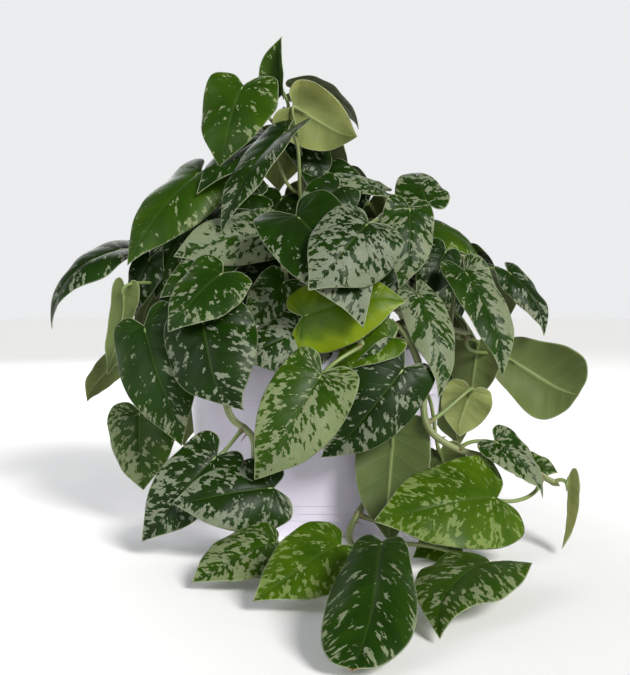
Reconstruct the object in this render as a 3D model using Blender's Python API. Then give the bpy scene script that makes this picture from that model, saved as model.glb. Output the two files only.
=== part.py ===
"""A satin pothos in a white outer pot: pots, soil, vines and leaves, one object for each.

Metres, +Z up, front towards -Y. The origin is the centre of the outer pot's foot, on the surface
that the pot stands on. A leaf is a blade and its petiole, grown in one. Every leaf follows one of
two outlines and one bending rule, and the table of leaves says where each hangs.
"""

import math
from typing import NamedTuple

import bmesh
import bpy
from mathutils import Vector

MM = 0.001
GAP = 0.4 * MM

POT_HEIGHT = 137 * MM
FOOT_RADIUS = 91 * MM
BAND_FOOT = 100 * MM
BAND_RADIUS = 103.5 * MM
BRIM_RADIUS = 106.5 * MM
TAPER = 0.092
POT_WALL = 2.2 * MM
POT_FLOOR = 3 * MM
STEP_HEIGHTS = (11.5 * MM, 17 * MM, 23 * MM)
STEP_DEPTH = 0.7 * MM
NOTCHES = 12
NOTCH_SIZE = (9 * MM, 6 * MM, 3 * MM)
POT_SEGMENTS = 40

LIP_RADIUS = 113 * MM
LIP_HEIGHT = 4.2 * MM
GROW_WALL = 1.6 * MM
GROW_FOOT_RADIUS = 82 * MM
GROW_TOP_RADIUS = 100 * MM

SOIL_DROP = 5 * MM
SOIL_DOME = 4 * MM
SOCKET_CLEARANCE = 1.2 * MM
ROOT_DEPTH = 22 * MM
STEM_RISE = 5 * MM

STEM_RADIUS = 2.9 * MM
STEM_SIDES = 6
SAMPLES_PER_SPAN = 3

PETIOLE_ROOT_RADIUS = 1.7 * MM
PETIOLE_END_RADIUS = 1.3 * MM
PETIOLE_SIDES = 5
PETIOLE_SPANS = 4
BLADE_THICKNESS = 0.9 * MM
VEIN_SWEEP = 0.2

# Half of the heart outline, from the notch round the lobe to the tip:
# share of the half width, share of the length.
OUTLINE = (
    (0.0, 0.0),
    (0.36, -0.13),
    (0.82, -0.09),
    (1.0, 0.16),
    (0.95, 0.44),
    (0.71, 0.70),
    (0.33, 0.89),
    (0.0, 1.0),
)
# The same for a leaf that is narrow at its foot and round at its end.
BLUNT_OUTLINE = (
    (0.0, 0.0),
    (0.34, -0.07),
    (0.62, 0.06),
    (0.80, 0.30),
    (1.0, 0.58),
    (0.92, 0.82),
    (0.50, 0.97),
    (0.0, 1.0),
)
ACROSS = (-1.0, -0.55, 0.0, 0.55, 1.0)

WHITE = (0.86, 0.86, 0.89)
BLACK = (0.02, 0.02, 0.022)
BROWN = (0.07, 0.045, 0.03)
STEM_GREEN = (0.22, 0.30, 0.09)
DARK = (0.03, 0.10, 0.04)
MID = (0.07, 0.20, 0.05)
BRIGHT = (0.18, 0.38, 0.06)
SILVER = (0.22, 0.32, 0.25)
UNDER = (0.30, 0.38, 0.22)


class Vine(NamedTuple):
    """A bare stem: where it leaves the soil, then the points that it passes, in millimetres."""

    name: str
    root: tuple
    points: tuple


class Leaf(NamedTuple):
    """A leaf: its vine, how far along it grows, and how its blade hangs, in millimetres.

    facing is the direction of the upper side. bow lifts the middle of the midrib, fold lifts the
    two halves, and cup turns the margins back, each as a share of the size that it bends.
    """

    name: str
    vine: str
    along: float
    base: tuple
    tip: tuple
    width: float
    facing: tuple
    tone: tuple = DARK
    bow: float = 0.08
    fold: float = 0.10
    cup: float = 0.25
    arrive: float = 0.5
    outline: tuple = OUTLINE


VINES = (
    Vine("vine_crown", (-4, 6), ((-8, 2, 190), (-9, -3, 265), (-16, -4, 300), (-25, -6, 322))),
    Vine("vine_left_high", (-34, 4), ((-38, 2, 190), (-50, -4, 238), (-66, -10, 258))),
    Vine("vine_left_far", (-62, 12), ((-80, 10, 165), (-106, 4, 194), (-134, 2, 206))),
    Vine(
        "vine_left_rim",
        (-52, -40),
        ((-66, -60, 158), (-92, -66, 166), (-116, -56, 158), (-134, -36, 128), (-140, -30, 98)),
    ),
    Vine("vine_front", (-14, -52), ((-18, -68, 168), (-22, -84, 196), (-16, -90, 214))),
    Vine("vine_middle", (26, -22), ((32, -34, 190), (44, -48, 226), (58, -60, 240))),
    Vine("vine_right_high", (52, 4), ((66, 0, 176), (86, -6, 204), (112, -16, 206), (134, -16, 190))),
    Vine(
        "vine_right_low",
        (44, -56),
        ((66, -78, 156), (92, -76, 152), (116, -56, 146)),
    ),
    Vine(
        "vine_trail_right",
        (22, -70),
        (
            (46, -90, 155),
            (62, -106, 150),
            (74, -114, 122),
            (77, -118, 88),
            (93, -117, 72),
            (118, -112, 63),
            (146, -114, 56),
            (172, -110, 42),
        ),
    ),
    Vine(
        "vine_trail_front",
        (-2, -78),
        (
            (10, -96, 154),
            (32, -116, 143),
            (46, -110, 104),
            (50, -97, 56),
            (24, -122, 12),
            (34, -160, 4),
            (40, -204, 4),
            (34, -236, 6),
        ),
    ),
    Vine(
        "vine_trail_left",
        (-40, -62),
        (
            (-54, -92, 152),
            (-62, -114, 142),
            (-63, -118, 112),
            (-58, -120, 92),
            (-43, -126, 79),
            (-41, -130, 58),
            (-36, -138, 26),
            (-24, -152, 6),
        ),
    ),
    Vine(
        "vine_back_left",
        (-28, 52),
        ((-44, 78, 162), (-62, 104, 158), (-76, 116, 128), (-84, 116, 88), (-88, 118, 50)),
    ),
    Vine(
        "vine_back_right",
        (34, 50),
        ((54, 76, 160), (74, 98, 158), (86, 112, 128), (92, 112, 90), (94, 116, 52)),
    ),
)

LEAVES = (
    Leaf(
        "leaf_crown_1", "vine_crown", 0.90, (-55, -24, 336), (-70, -42, 272), 62, (-0.3, -1, 0.35), MID,
    ),
    Leaf(
        "leaf_crown_2", "vine_crown", 0.985, (-26, -9, 331), (-28, -6, 376), 30, (-0.75, -0.8, 0.1),
        MID, fold=0.9, cup=0.2, bow=0.02,
    ),
    Leaf(
        "leaf_crown_3", "vine_crown", 0.84, (-17, -16, 321), (32, -24, 292), 48, (0.5, 0.8, -0.25),
        UNDER,
    ),
    Leaf(
        "leaf_crown_4", "vine_crown", 0.92, (-14, 12, 338), (36, 4, 306), 42, (0.25, 0.35, 0.9), DARK,
        bow=0.2,
    ),
    Leaf(
        "leaf_crown_5", "vine_crown", 0.62, (-20, -40, 300), (-67, -78, 222), 40, (-0.7, -0.8, 0.25),
        DARK,
    ),
    Leaf(
        "leaf_crown_6", "vine_crown", 0.66, (-36, -2, 300), (-86, -50, 252), 42, (-0.4, -0.9, 0.5),
        DARK,
    ),
    Leaf(
        "leaf_left_1", "vine_left_high", 0.95, (-88, -20, 271), (-139, -52, 198), 58,
        (-0.4, -0.85, 0.5), BRIGHT,
    ),
    Leaf(
        "leaf_left_2", "vine_left_high", 0.80, (-92, -2, 244), (-122, -26, 172), 54, (-0.45, -0.9, 0.4),
        MID,
    ),
    Leaf(
        "leaf_left_3", "vine_left_far", 0.97, (-149, -8, 211), (-209, -16, 148), 44, (-0.5, -0.5, 0.75),
        bow=0.2,
    ),
    Leaf(
        "leaf_rim_1", "vine_front", 0.80, (-32, -56, 222), (-103, -70, 202), 52, (-0.05, -0.85, 0.55),
        SILVER,
    ),
    Leaf(
        "leaf_rim_2", "vine_front", 0.66, (-64, -106, 192), (-99, -126, 151), 50, (-0.2, -0.8, 0.55),
        MID,
    ),
    Leaf(
        "leaf_rim_3", "vine_left_rim", 0.52, (-124, -82, 154), (-90, -112, 73), 58, (-0.25, -1, 0.25),
        BRIGHT,
    ),
    Leaf(
        "leaf_rim_4", "vine_left_rim", 0.97, (-132, -54, 88), (-126, -66, 30), 58, (-0.3, -0.9, 0.2),
        SILVER,
    ),
    Leaf(
        "leaf_front_1", "vine_front", 0.95, (-14, -88, 233), (38, -140, 160), 68, (0.1, -0.85, 0.5),
        SILVER,
    ),
    Leaf(
        "leaf_front_2", "vine_front", 0.50, (-78, -114, 160), (-62, -138, 96), 66, (-0.1, -1, 0.2),
        DARK,
    ),
    Leaf(
        "leaf_front_3", "vine_front", 0.42, (-9, -110, 161), (62, -116, 177), 56, (0.05, -0.9, 0.45),
        BRIGHT,
    ),
    Leaf(
        "leaf_front_4", "vine_trail_front", 0.24, (5, -142, 125), (-36, -162, 54), 56, (-0.1, -1, 0.2),
        SILVER,
    ),
    Leaf(
        "leaf_front_5", "vine_trail_right", 0.30, (62, -122, 127), (8, -130, 62), 54, (0.05, -1, 0.15),
        DARK,
    ),
    Leaf(
        "leaf_middle_1", "vine_middle", 0.97, (37, -116, 226), (-1, -147, 179), 60, (0.05, -0.9, 0.4),
        SILVER,
    ),
    Leaf(
        "leaf_middle_2", "vine_middle", 0.90, (68, -84, 239), (63, -106, 181), 38, (0.2, -0.9, 0.35),
        SILVER,
    ),
    Leaf(
        "leaf_middle_3", "vine_middle", 0.66, (19, -52, 256), (-10, -68, 226), 38, (0.0, -0.85, 0.5),
        DARK,
    ),
    Leaf(
        "leaf_middle_4", "vine_middle", 0.74, (54, -22, 255), (6, -26, 264), 40, (0.0, -0.45, 0.9),
        SILVER,
    ),
    Leaf(
        "leaf_middle_5", "vine_middle", 0.84, (84, -46, 244), (76, -8, 272), 40, (0.1, -0.8, 0.6),
        SILVER,
    ),
    Leaf(
        "leaf_right_1", "vine_right_high", 0.62, (86, -2, 230), (136, 6, 188), 42, (0.4, -0.45, 0.85),
        BRIGHT, bow=0.2,
    ),
    Leaf(
        "leaf_right_2", "vine_right_high", 0.97, (148, -32, 193), (178, -44, 146), 32,
        (0.6, -0.75, 0.35), DARK,
    ),
    Leaf(
        "leaf_right_3", "vine_right_low", 0.80, (110, -64, 194), (140, -90, 119), 40,
        (0.35, -0.85, 0.3), SILVER,
    ),
    Leaf(
        "leaf_right_5", "vine_right_low", 0.55, (72, -92, 178), (91, -122, 107), 36, (0.5, -0.9, 0.2),
        SILVER,
    ),
    Leaf(
        "leaf_right_6", "vine_right_low", 0.97, (146, -28, 128), (201, -34, 94), 60, (0.1, 1, -0.1),
        UNDER, outline=BLUNT_OUTLINE,
    ),
    Leaf(
        "leaf_trail_right_1", "vine_trail_right", 0.58, (113, -86, 107), (101, -96, 75), 36,
        (0.1, 0.9, 0.2), UNDER,
    ),
    Leaf(
        "leaf_trail_right_2", "vine_trail_right", 0.70, (124, -122, 76), (158, -132, 40), 36,
        (0.5, -0.7, 0.5), SILVER,
    ),
    Leaf(
        "leaf_trail_right_3", "vine_trail_right", 0.985, (178, -112, 47), (168, -138, 3), 16,
        (1, -0.2, 0), UNDER, fold=1.0, cup=0.0, bow=0.03,
    ),
    Leaf(
        "leaf_trail_right_4", "vine_trail_right", 0.94, (122, -150, 42), (40, -182, 31), 70,
        (0.1, -0.75, 0.65), BRIGHT,
    ),
    Leaf(
        "leaf_trail_right_5", "vine_trail_front", 0.76, (104, -228, 20), (54, -310, 4), 54,
        (-0.25, -0.45, 0.87), MID,
    ),
    Leaf(
        "leaf_trail_front_1", "vine_trail_front", 0.98, (38, -258, 40), (24, -364, 5), 46,
        (-0.05, -0.6, 0.8), DARK, outline=BLUNT_OUTLINE,
    ),
    Leaf(
        "leaf_trail_front_2", "vine_trail_front", 0.88, (16, -226, 30), (-32, -268, 6), 50,
        (-0.1, -0.7, 0.7), MID,
    ),
    Leaf(
        "leaf_trail_front_3", "vine_trail_right", 0.47, (55, -110, 82), (48, -128, 5), 52,
        (0.1, 1, 0.1), UNDER,
    ),
    Leaf(
        "leaf_trail_left_1", "vine_trail_left", 0.86, (-27, -147, 48), (-93, -162, 38), 52,
        (-0.05, -0.85, 0.5), SILVER,
    ),
    Leaf(
        "leaf_trail_left_2", "vine_trail_left", 0.62, (-66, -134, 68), (-114, -150, 10), 46,
        (-0.2, -0.9, 0.4), DARK,
    ),
    Leaf(
        "leaf_trail_left_3", "vine_trail_left", 0.97, (-24, -186, 21), (-72, -224, 4), 52,
        (0.0, -0.45, 0.9), MID,
    ),
    Leaf(
        "leaf_back_1", "vine_back_left", 0.40, (-54, 98, 190), (-86, 128, 146), 58, (-0.3, 1, 0.4),
        DARK,
    ),
    Leaf(
        "leaf_back_2", "vine_back_left", 0.72, (-104, 112, 118), (-118, 126, 56), 54, (-0.5, 0.9, 0.3),
        MID,
    ),
    Leaf(
        "leaf_back_3", "vine_back_right", 0.40, (46, 100, 198), (80, 130, 152), 58, (0.3, 1, 0.4),
        SILVER,
    ),
    Leaf(
        "leaf_back_4", "vine_back_right", 0.72, (116, 102, 122), (122, 122, 62), 54, (0.4, 0.9, 0.3),
        DARK,
    ),
    Leaf("leaf_back_5", "vine_crown", 0.58, (2, 28, 262), (10, 66, 196), 60, (0, 1, 0.5), MID),
)


def clear_scene():
    """Removes whatever the scene starts with."""
    for obj in list(bpy.data.objects):
        bpy.data.objects.remove(obj, do_unlink=True)


def paint(obj, colour, roughness):
    """Gives an object its own plain material."""
    material = bpy.data.materials.new(obj.name + "_material")
    material.use_nodes = True
    shader = material.node_tree.nodes["Principled BSDF"]
    shader.inputs["Base Color"].default_value = (*colour, 1.0)
    shader.inputs["Roughness"].default_value = roughness
    obj.data.materials.append(material)


def mesh_object(name, points, faces):
    """An object of these points and faces, with its faces turned outwards and shaded smooth."""
    mesh = bpy.data.meshes.new(name)
    mesh.from_pydata([tuple(point) for point in points], [], faces)
    work = bmesh.new()
    work.from_mesh(mesh)
    bmesh.ops.remove_doubles(work, verts=work.verts, dist=0.001 * MM)
    bmesh.ops.recalc_face_normals(work, faces=work.faces)
    work.to_mesh(mesh)
    work.free()
    mesh.shade_smooth()
    mesh.set_sharp_from_angle(angle=math.radians(35))
    obj = bpy.data.objects.new(name, mesh)
    bpy.context.collection.objects.link(obj)
    return obj


def as_cutter(obj):
    """Keeps an object out of the part: it only shapes another."""
    obj.hide_render = True
    obj.display_type = "WIRE"


def boolean(obj, other, operation):
    """Adds an exact Boolean of another object, which becomes a helper."""
    as_cutter(other)
    modifier = obj.modifiers.new(other.name, "BOOLEAN")
    modifier.operation = operation
    modifier.object = other
    modifier.solver = "EXACT"


def turned(name, profile, segments):
    """A closed solid turned about Z from a profile of (radius, height), which ends on the axis."""
    points = []
    for radius, height in profile:
        for i in range(segments):
            angle = math.tau * i / segments
            points.append((radius * math.cos(angle), radius * math.sin(angle), height))
    faces = []
    for row in range(len(profile) - 1):
        for i in range(segments):
            j = (i + 1) % segments
            low = row * segments
            high = low + segments
            faces.append((low + i, low + j, high + j, high + i))
    return mesh_object(name, points, faces)


def wall_radius(height):
    """Outer radius of the tapered wall at a height."""
    return FOOT_RADIUS + TAPER * height


def make_outer_pot():
    """The white pot: foot, three shallow steps, tapered wall, rim band and hollow inside."""
    profile = [(0.0, 0.0), (FOOT_RADIUS - 1.2 * MM, 0.0), (FOOT_RADIUS - 0.4 * MM, 1.2 * MM)]
    inset = len(STEP_HEIGHTS) * STEP_DEPTH
    for height in STEP_HEIGHTS:
        profile.append((wall_radius(height) - inset, height))
        inset -= STEP_DEPTH
        profile.append((wall_radius(height) - inset, height + 0.6 * MM))
    profile += [
        (wall_radius(BAND_FOOT), BAND_FOOT),
        (BAND_RADIUS, BAND_FOOT + 0.4 * MM),
        (BRIM_RADIUS, POT_HEIGHT - 1.2 * MM),
        (BRIM_RADIUS - 1.1 * MM, POT_HEIGHT),
        (BRIM_RADIUS - POT_WALL, POT_HEIGHT),
        (wall_radius(BAND_FOOT) - POT_WALL, BAND_FOOT - 6 * MM),
        (wall_radius(30 * MM) - POT_WALL - 1 * MM, 30 * MM),
        (wall_radius(0.0) - POT_WALL - 3 * MM, POT_FLOOR),
        (0.0, POT_FLOOR),
    ]
    pot = turned("outer_pot", profile, POT_SEGMENTS)
    notches = make_notches()
    boolean(pot, notches, "DIFFERENCE")
    paint(pot, WHITE, 0.35)


def make_notches():
    """Cutters for the small drainage notches under the foot's edge."""
    along, deep, high = NOTCH_SIZE
    points = []
    faces = []
    for i in range(NOTCHES):
        angle = math.tau * (i + 0.25) / NOTCHES
        outward = Vector((math.cos(angle), math.sin(angle), 0.0))
        side = Vector((-outward.y, outward.x, 0.0)) * along / 2
        start = len(points)
        for height in (-1 * MM, high):
            for reach in (FOOT_RADIUS - deep, FOOT_RADIUS + 4 * MM):
                centre = outward * reach + Vector((0.0, 0.0, height))
                points += [centre - side, centre + side]
        for face in ((0, 1, 3, 2), (4, 6, 7, 5), (0, 4, 5, 1), (2, 3, 7, 6), (0, 2, 6, 4), (1, 5, 7, 3)):
            faces.append([start + corner for corner in face])
    return mesh_object("foot_notches", points, faces)


def make_grow_pot():
    """The black liner: it stands on the pot's floor, and its lip laps over the brim."""
    foot = POT_FLOOR + GAP
    lip_foot = POT_HEIGHT + GAP
    lip_top = lip_foot + LIP_HEIGHT
    profile = [
        (0.0, foot),
        (GROW_FOOT_RADIUS, foot),
        (GROW_TOP_RADIUS, lip_foot),
        (LIP_RADIUS - 0.8 * MM, lip_foot),
        (LIP_RADIUS, lip_foot + 0.8 * MM),
        (LIP_RADIUS, lip_top - 1.2 * MM),
        (LIP_RADIUS - 1.2 * MM, lip_top),
        (GROW_TOP_RADIUS - GROW_WALL, lip_top),
        (GROW_FOOT_RADIUS - GROW_WALL, foot + GROW_WALL),
        (0.0, foot + GROW_WALL),
    ]
    pot = turned("grow_pot", profile, POT_SEGMENTS)
    paint(pot, BLACK, 0.25)


def soil_top():
    """Height of the soil where it meets the liner."""
    return POT_HEIGHT + GAP + LIP_HEIGHT - SOIL_DROP


def soil_surface(x, y):
    """Height of the low dome of soil at a place."""
    share = math.hypot(x, y) / GROW_TOP_RADIUS
    return soil_top() + SOIL_DOME * (1 - share * share)


def make_soil():
    """The root ball: it fills the liner, is domed a little, and has a socket for each stem."""
    foot = POT_FLOOR + 2 * GAP + GROW_WALL
    height = POT_HEIGHT + LIP_HEIGHT - POT_FLOOR
    slope = (GROW_TOP_RADIUS - GROW_FOOT_RADIUS) / height
    clearance = GROW_WALL + 2 * GAP
    rim = GROW_FOOT_RADIUS + slope * (soil_top() - POT_FLOOR) - clearance
    profile = [(0.0, foot), (GROW_FOOT_RADIUS - clearance, foot), (rim, soil_top())]
    for share in (0.7, 0.35, 0.0):
        reach = rim * share
        profile.append((reach, soil_surface(reach, 0.0)))
    soil = turned("soil", profile, POT_SEGMENTS)
    points = []
    faces = []
    for vine in VINES:
        x, y = (value * MM for value in vine.root)
        bottom = soil_surface(x, y) - ROOT_DEPTH - SOCKET_CLEARANCE
        route = [Vector((x, y, bottom)), Vector((x, y, soil_top() + 20 * MM))]
        radii = [STEM_RADIUS + SOCKET_CLEARANCE] * 2
        add_tube(points, faces, route, radii, 2 * STEM_SIDES)
    sockets = mesh_object("sockets", points, faces)
    boolean(soil, sockets, "DIFFERENCE")
    paint(soil, BROWN, 0.95)


def add_tube(points, faces, route, radii, sides):
    """Adds a capped tube round a route, carried along it without twisting."""
    start = len(points)
    tangent = (route[1] - route[0]).normalized()
    across = tangent.orthogonal().normalized()
    for i, centre in enumerate(route):
        ahead = route[min(i + 1, len(route) - 1)]
        behind = route[max(i - 1, 0)]
        tangent = (ahead - behind).normalized()
        across = (across - tangent * across.dot(tangent)).normalized()
        up = tangent.cross(across)
        for k in range(sides):
            angle = math.tau * k / sides
            points.append(centre + radii[i] * (across * math.cos(angle) + up * math.sin(angle)))
    for i in range(len(route) - 1):
        for k in range(sides):
            low = start + i * sides
            high = low + sides
            j = (k + 1) % sides
            faces.append((low + k, low + j, high + j, high + k))
    faces.append(tuple(start + k for k in reversed(range(sides))))
    faces.append(tuple(start + (len(route) - 1) * sides + k for k in range(sides)))


def smooth_route(points, samples):
    """A Catmull-Rom curve through points, with this many samples to a span."""
    ends = [points[0] * 2 - points[1], *points, points[-1] * 2 - points[-2]]
    route = []
    for a, b, c, d in zip(ends, ends[1:], ends[2:], ends[3:]):
        for i in range(samples):
            t = i / samples
            bend = 2 * b + (c - a) * t + (2 * a - 5 * b + 4 * c - d) * t**2 + (3 * b - a - 3 * c + d) * t**3
            route.append(0.5 * bend)
    return [*route, points[-1]]


def vine_route(vine):
    """The stem's centre line, from its buried end."""
    x, y = (value * MM for value in vine.root)
    ground = soil_surface(x, y)
    points = [Vector((x, y, ground + STEM_RISE))]
    points += [Vector(point) * MM for point in vine.points]
    return [Vector((x, y, ground - ROOT_DEPTH)), *smooth_route(points, SAMPLES_PER_SPAN)]


def along_route(route, share):
    """The point and the direction at a share of a route's length."""
    lengths = [(b - a).length for a, b in zip(route, route[1:])]
    left = share * sum(lengths)
    for i, length in enumerate(lengths):
        if left <= length:
            break
        left -= length
    span = route[i + 1] - route[i]
    return route[i] + span * min(left / length, 1.0), span.normalized()


def make_vine(vine):
    """One bare stem, a little thinner towards its growing end."""
    route = vine_route(vine)
    radii = [STEM_RADIUS * (1.0 - 0.25 * i / (len(route) - 1)) for i in range(len(route))]
    points = []
    faces = []
    add_tube(points, faces, route, radii, STEM_SIDES)
    paint(mesh_object(vine.name, points, faces), STEM_GREEN, 0.5)


def blade_point(leaf, side_share, length_share):
    """A point of the blade's sheet, at a share of its half width and of its length."""
    base = Vector(leaf.base) * MM
    run = Vector(leaf.tip) * MM - base
    forward = run.normalized()
    facing = Vector(leaf.facing)
    facing = (facing - forward * facing.dot(forward)).normalized()
    side = forward.cross(facing)
    half = leaf.width * MM / 2
    reach = abs(side_share)
    lift = leaf.bow * run.length * 4 * length_share * (1 - length_share)
    lift += half * (leaf.fold * reach - leaf.cup * reach**2)
    return base + run * length_share + side * half * side_share + facing * lift


def make_blade(leaf):
    """The blade's sheet, made a thin solid: rows run from the midrib out along the veins."""
    points = []
    for width_share, length_share in leaf.outline:
        foot = max(0.0, length_share - VEIN_SWEEP * width_share)
        for across in ACROSS:
            reach = abs(across)
            along = foot + (length_share - foot) * reach
            points.append(blade_point(leaf, across * width_share, along))
    faces = []
    columns = len(ACROSS)
    for row in range(len(leaf.outline) - 1):
        for column in range(columns - 1):
            low = row * columns + column
            high = low + columns
            faces.append((low, low + 1, high + 1, high))
    blade = mesh_object(leaf.name, points, faces)
    solidify = blade.modifiers.new("thickness", "SOLIDIFY")
    solidify.thickness = BLADE_THICKNESS
    solidify.offset = 0.0
    return blade


def petiole_route(leaf, vine):
    """The petiole's centre line: it springs from the stem's side and bends over into the midrib."""
    stem, tangent = along_route(vine_route(vine), leaf.along)
    base = blade_point(leaf, 0.0, 0.0)
    run = (blade_point(leaf, 0.0, 1.0) - base).normalized()
    facing = Vector(leaf.facing).normalized()
    away = base - stem
    away = (away - tangent * away.dot(tangent)).normalized()
    start = stem + away * (STEM_RADIUS + GAP)
    end = blade_point(leaf, 0.0, 0.06)
    pull = 0.4 * (end - start).length
    arrival = (run * leaf.arrive + facing * (1 - leaf.arrive)).normalized()
    controls = (start, start + away * pull, end - arrival * pull, end)
    route = []
    for i in range(PETIOLE_SPANS + 1):
        t = i / PETIOLE_SPANS
        a, b, c, d = controls
        route.append(a * (1 - t) ** 3 + b * 3 * t * (1 - t) ** 2 + c * 3 * t**2 * (1 - t) + d * t**3)
    return route


def make_leaf(leaf, vine):
    """A blade with its petiole, grown in one."""
    blade = make_blade(leaf)
    route = petiole_route(leaf, vine)
    radii = []
    for i in range(len(route)):
        share = i / (len(route) - 1)
        radii.append(PETIOLE_ROOT_RADIUS + (PETIOLE_END_RADIUS - PETIOLE_ROOT_RADIUS) * share)
    points = []
    faces = []
    add_tube(points, faces, route, radii, PETIOLE_SIDES)
    petiole = mesh_object(leaf.name + "_petiole", points, faces)
    boolean(blade, petiole, "UNION")
    paint(blade, leaf.tone, 0.4)


def main():
    clear_scene()
    make_outer_pot()
    make_grow_pot()
    make_soil()
    for vine in VINES:
        make_vine(vine)
    vines = {vine.name: vine for vine in VINES}
    for leaf in LEAVES:
        make_leaf(leaf, vines[leaf.vine])


main()
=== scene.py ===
"""A satin pothos in a white pot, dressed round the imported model.

The pots, the soil, the vines and the leaves are each a class that works its surfaces out with numpy,
welds them into closed meshes and dresses them with procedural finishes. Metres, +Z up, front
towards -Y, and every piece's place is in its mesh.
"""

import logging
import math
from dataclasses import dataclass, field
from enum import Enum

import bpy
import numpy as np
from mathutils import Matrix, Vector


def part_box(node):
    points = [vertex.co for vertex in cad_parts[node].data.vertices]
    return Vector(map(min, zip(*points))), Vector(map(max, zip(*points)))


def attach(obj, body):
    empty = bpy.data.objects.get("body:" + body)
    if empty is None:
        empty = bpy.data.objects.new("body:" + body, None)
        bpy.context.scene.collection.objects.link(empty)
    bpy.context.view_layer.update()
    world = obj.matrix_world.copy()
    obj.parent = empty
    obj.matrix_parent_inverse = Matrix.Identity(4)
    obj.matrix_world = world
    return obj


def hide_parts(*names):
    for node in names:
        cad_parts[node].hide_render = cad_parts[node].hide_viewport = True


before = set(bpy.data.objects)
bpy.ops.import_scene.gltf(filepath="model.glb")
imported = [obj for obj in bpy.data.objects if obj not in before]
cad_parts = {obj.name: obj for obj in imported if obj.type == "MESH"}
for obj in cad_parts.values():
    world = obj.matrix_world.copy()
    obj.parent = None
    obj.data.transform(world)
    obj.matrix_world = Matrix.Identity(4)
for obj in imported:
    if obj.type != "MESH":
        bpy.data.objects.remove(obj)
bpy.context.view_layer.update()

LOG = logging.getLogger("satin_pothos")
BODY = "root"
MM = 0.001
Array = np.ndarray

# Half of the heart outline, from the notch round the lobe to the tip: share of the half width, share
# of the length, and the share of the length where the vein to that point leaves the midrib.
HEART_OUTLINE = (
    (0.0, 0.0, 0.0),
    (0.36, -0.13, 0.004),
    (0.82, -0.09, 0.012),
    (1.0, 0.16, 0.04),
    (0.95, 0.44, 0.25),
    (0.68, 0.69, 0.55),
    (0.27, 0.88, 0.82),
    (0.0, 1.0, 1.0),
)
# The same for a leaf that is narrow at its foot and round at its end.
BLUNT_OUTLINE = (
    (0.0, 0.0, 0.0),
    (0.34, -0.07, 0.01),
    (0.62, 0.06, 0.03),
    (0.80, 0.30, 0.14),
    (1.0, 0.58, 0.38),
    (0.92, 0.82, 0.66),
    (0.50, 0.97, 0.88),
    (0.0, 1.0, 1.0),
)


class Tone(Enum):
    """How young and sunlit a leaf is, from deep blue-green at 0 to yellow-green at 1."""

    DARK = 0.08
    DEEP = 0.25
    MID = 0.45
    FRESH = 0.65
    BRIGHT = 0.85


class Slot(Enum):
    """The record's material slots."""

    WHITE_POT = "white_pot"
    BLACK_POT = "black_pot"
    SOIL = "soil"
    STEM = "stem"
    LEAF_DARK = "leaf_dark"
    LEAF_MID = "leaf_mid"
    LEAF_BRIGHT = "leaf_bright"
    LEAF_SILVER = "leaf_silver"


# ---------------------------------------------------------------- surfaces


def unit(vectors: Array) -> Array:
    """Vectors brought to length one along the last axis."""
    return vectors / np.maximum(np.linalg.norm(vectors, axis=-1, keepdims=True), 1e-12)


def smoothstep(low: float, high: float, value: Array) -> Array:
    """A share that rises smoothly from 0 at low to 1 at high."""
    share = np.clip((value - low) / (high - low), 0.0, 1.0)
    return share * share * (3 - 2 * share)


def spline(points: Array, at: Array) -> Array:
    """Reads a Catmull-Rom curve through rows of points.

    Args:
        points: one row for each point that the curve passes.
        at: places on the curve, counted in rows.

    Returns:
        One row for each place: the usual cubic blend of the four nearest rows, with the first and
        the last row continued straight.
    """
    padded = np.vstack([2 * points[0] - points[1], points, 2 * points[-1] - points[-2]])
    row = np.clip(at.astype(int), 0, len(points) - 2)
    t = (at - row)[:, None]
    a, b, c, d = (padded[row + step] for step in range(4))
    return 0.5 * (2 * b + (c - a) * t + (2 * a - 5 * b + 4 * c - d) * t**2 + (3 * b - a - 3 * c + d) * t**3)


def lattice_noise(x: Array, y: Array, seed: float) -> Array:
    """Smooth noise from 0 to 1: a hashed number at each whole-numbered corner, blended across its cell.

    Args:
        x: places along one axis, in cells.
        y: places along the other.
        seed: number that picks the pattern.

    Returns:
        One value for each place.
    """

    def corner(i: Array, j: Array) -> Array:
        """The hashed number of a corner."""
        wave = np.sin(i * 127.1 + j * 311.7 + seed * 74.7) * 43758.5453
        return wave - np.floor(wave)

    i, j = np.floor(x), np.floor(y)
    u, v = smoothstep(0, 1, x - i), smoothstep(0, 1, y - j)
    low = corner(i, j) * (1 - u) + corner(i + 1, j) * u
    high = corner(i, j + 1) * (1 - u) + corner(i + 1, j + 1) * u
    return low * (1 - v) + high * v


def tube_rings(route: Array, radii: Array, sides: int) -> Array:
    """Rings of a round tube carried along a route.

    Args:
        route: the centre line, one row for each ring.
        radii: the radius at each ring.
        sides: points round a ring.

    Returns:
        Rings by sides by 3: each ring is a circle across the route, its start turned as little as
        possible from the ring before, and the first and the last ring shrink to the centre line.
    """
    tangents = unit(np.gradient(route, axis=0))
    across = np.empty_like(route)
    across[0] = np.array(Vector(tangents[0]).orthogonal().normalized())
    for i in range(1, len(route)):
        carried = across[i - 1] - tangents[i] * (across[i - 1] @ tangents[i])
        across[i] = carried / np.linalg.norm(carried)
    up = np.cross(tangents, across)
    angle = np.linspace(0, math.tau, sides, endpoint=False)[None, :, None]
    circle = np.cos(angle) * across[:, None] + np.sin(angle) * up[:, None]
    rings = route[:, None] + radii[:, None, None] * circle
    return np.concatenate([route[None, :1].repeat(sides, 1), rings, route[None, -1:].repeat(sides, 1)])


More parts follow.
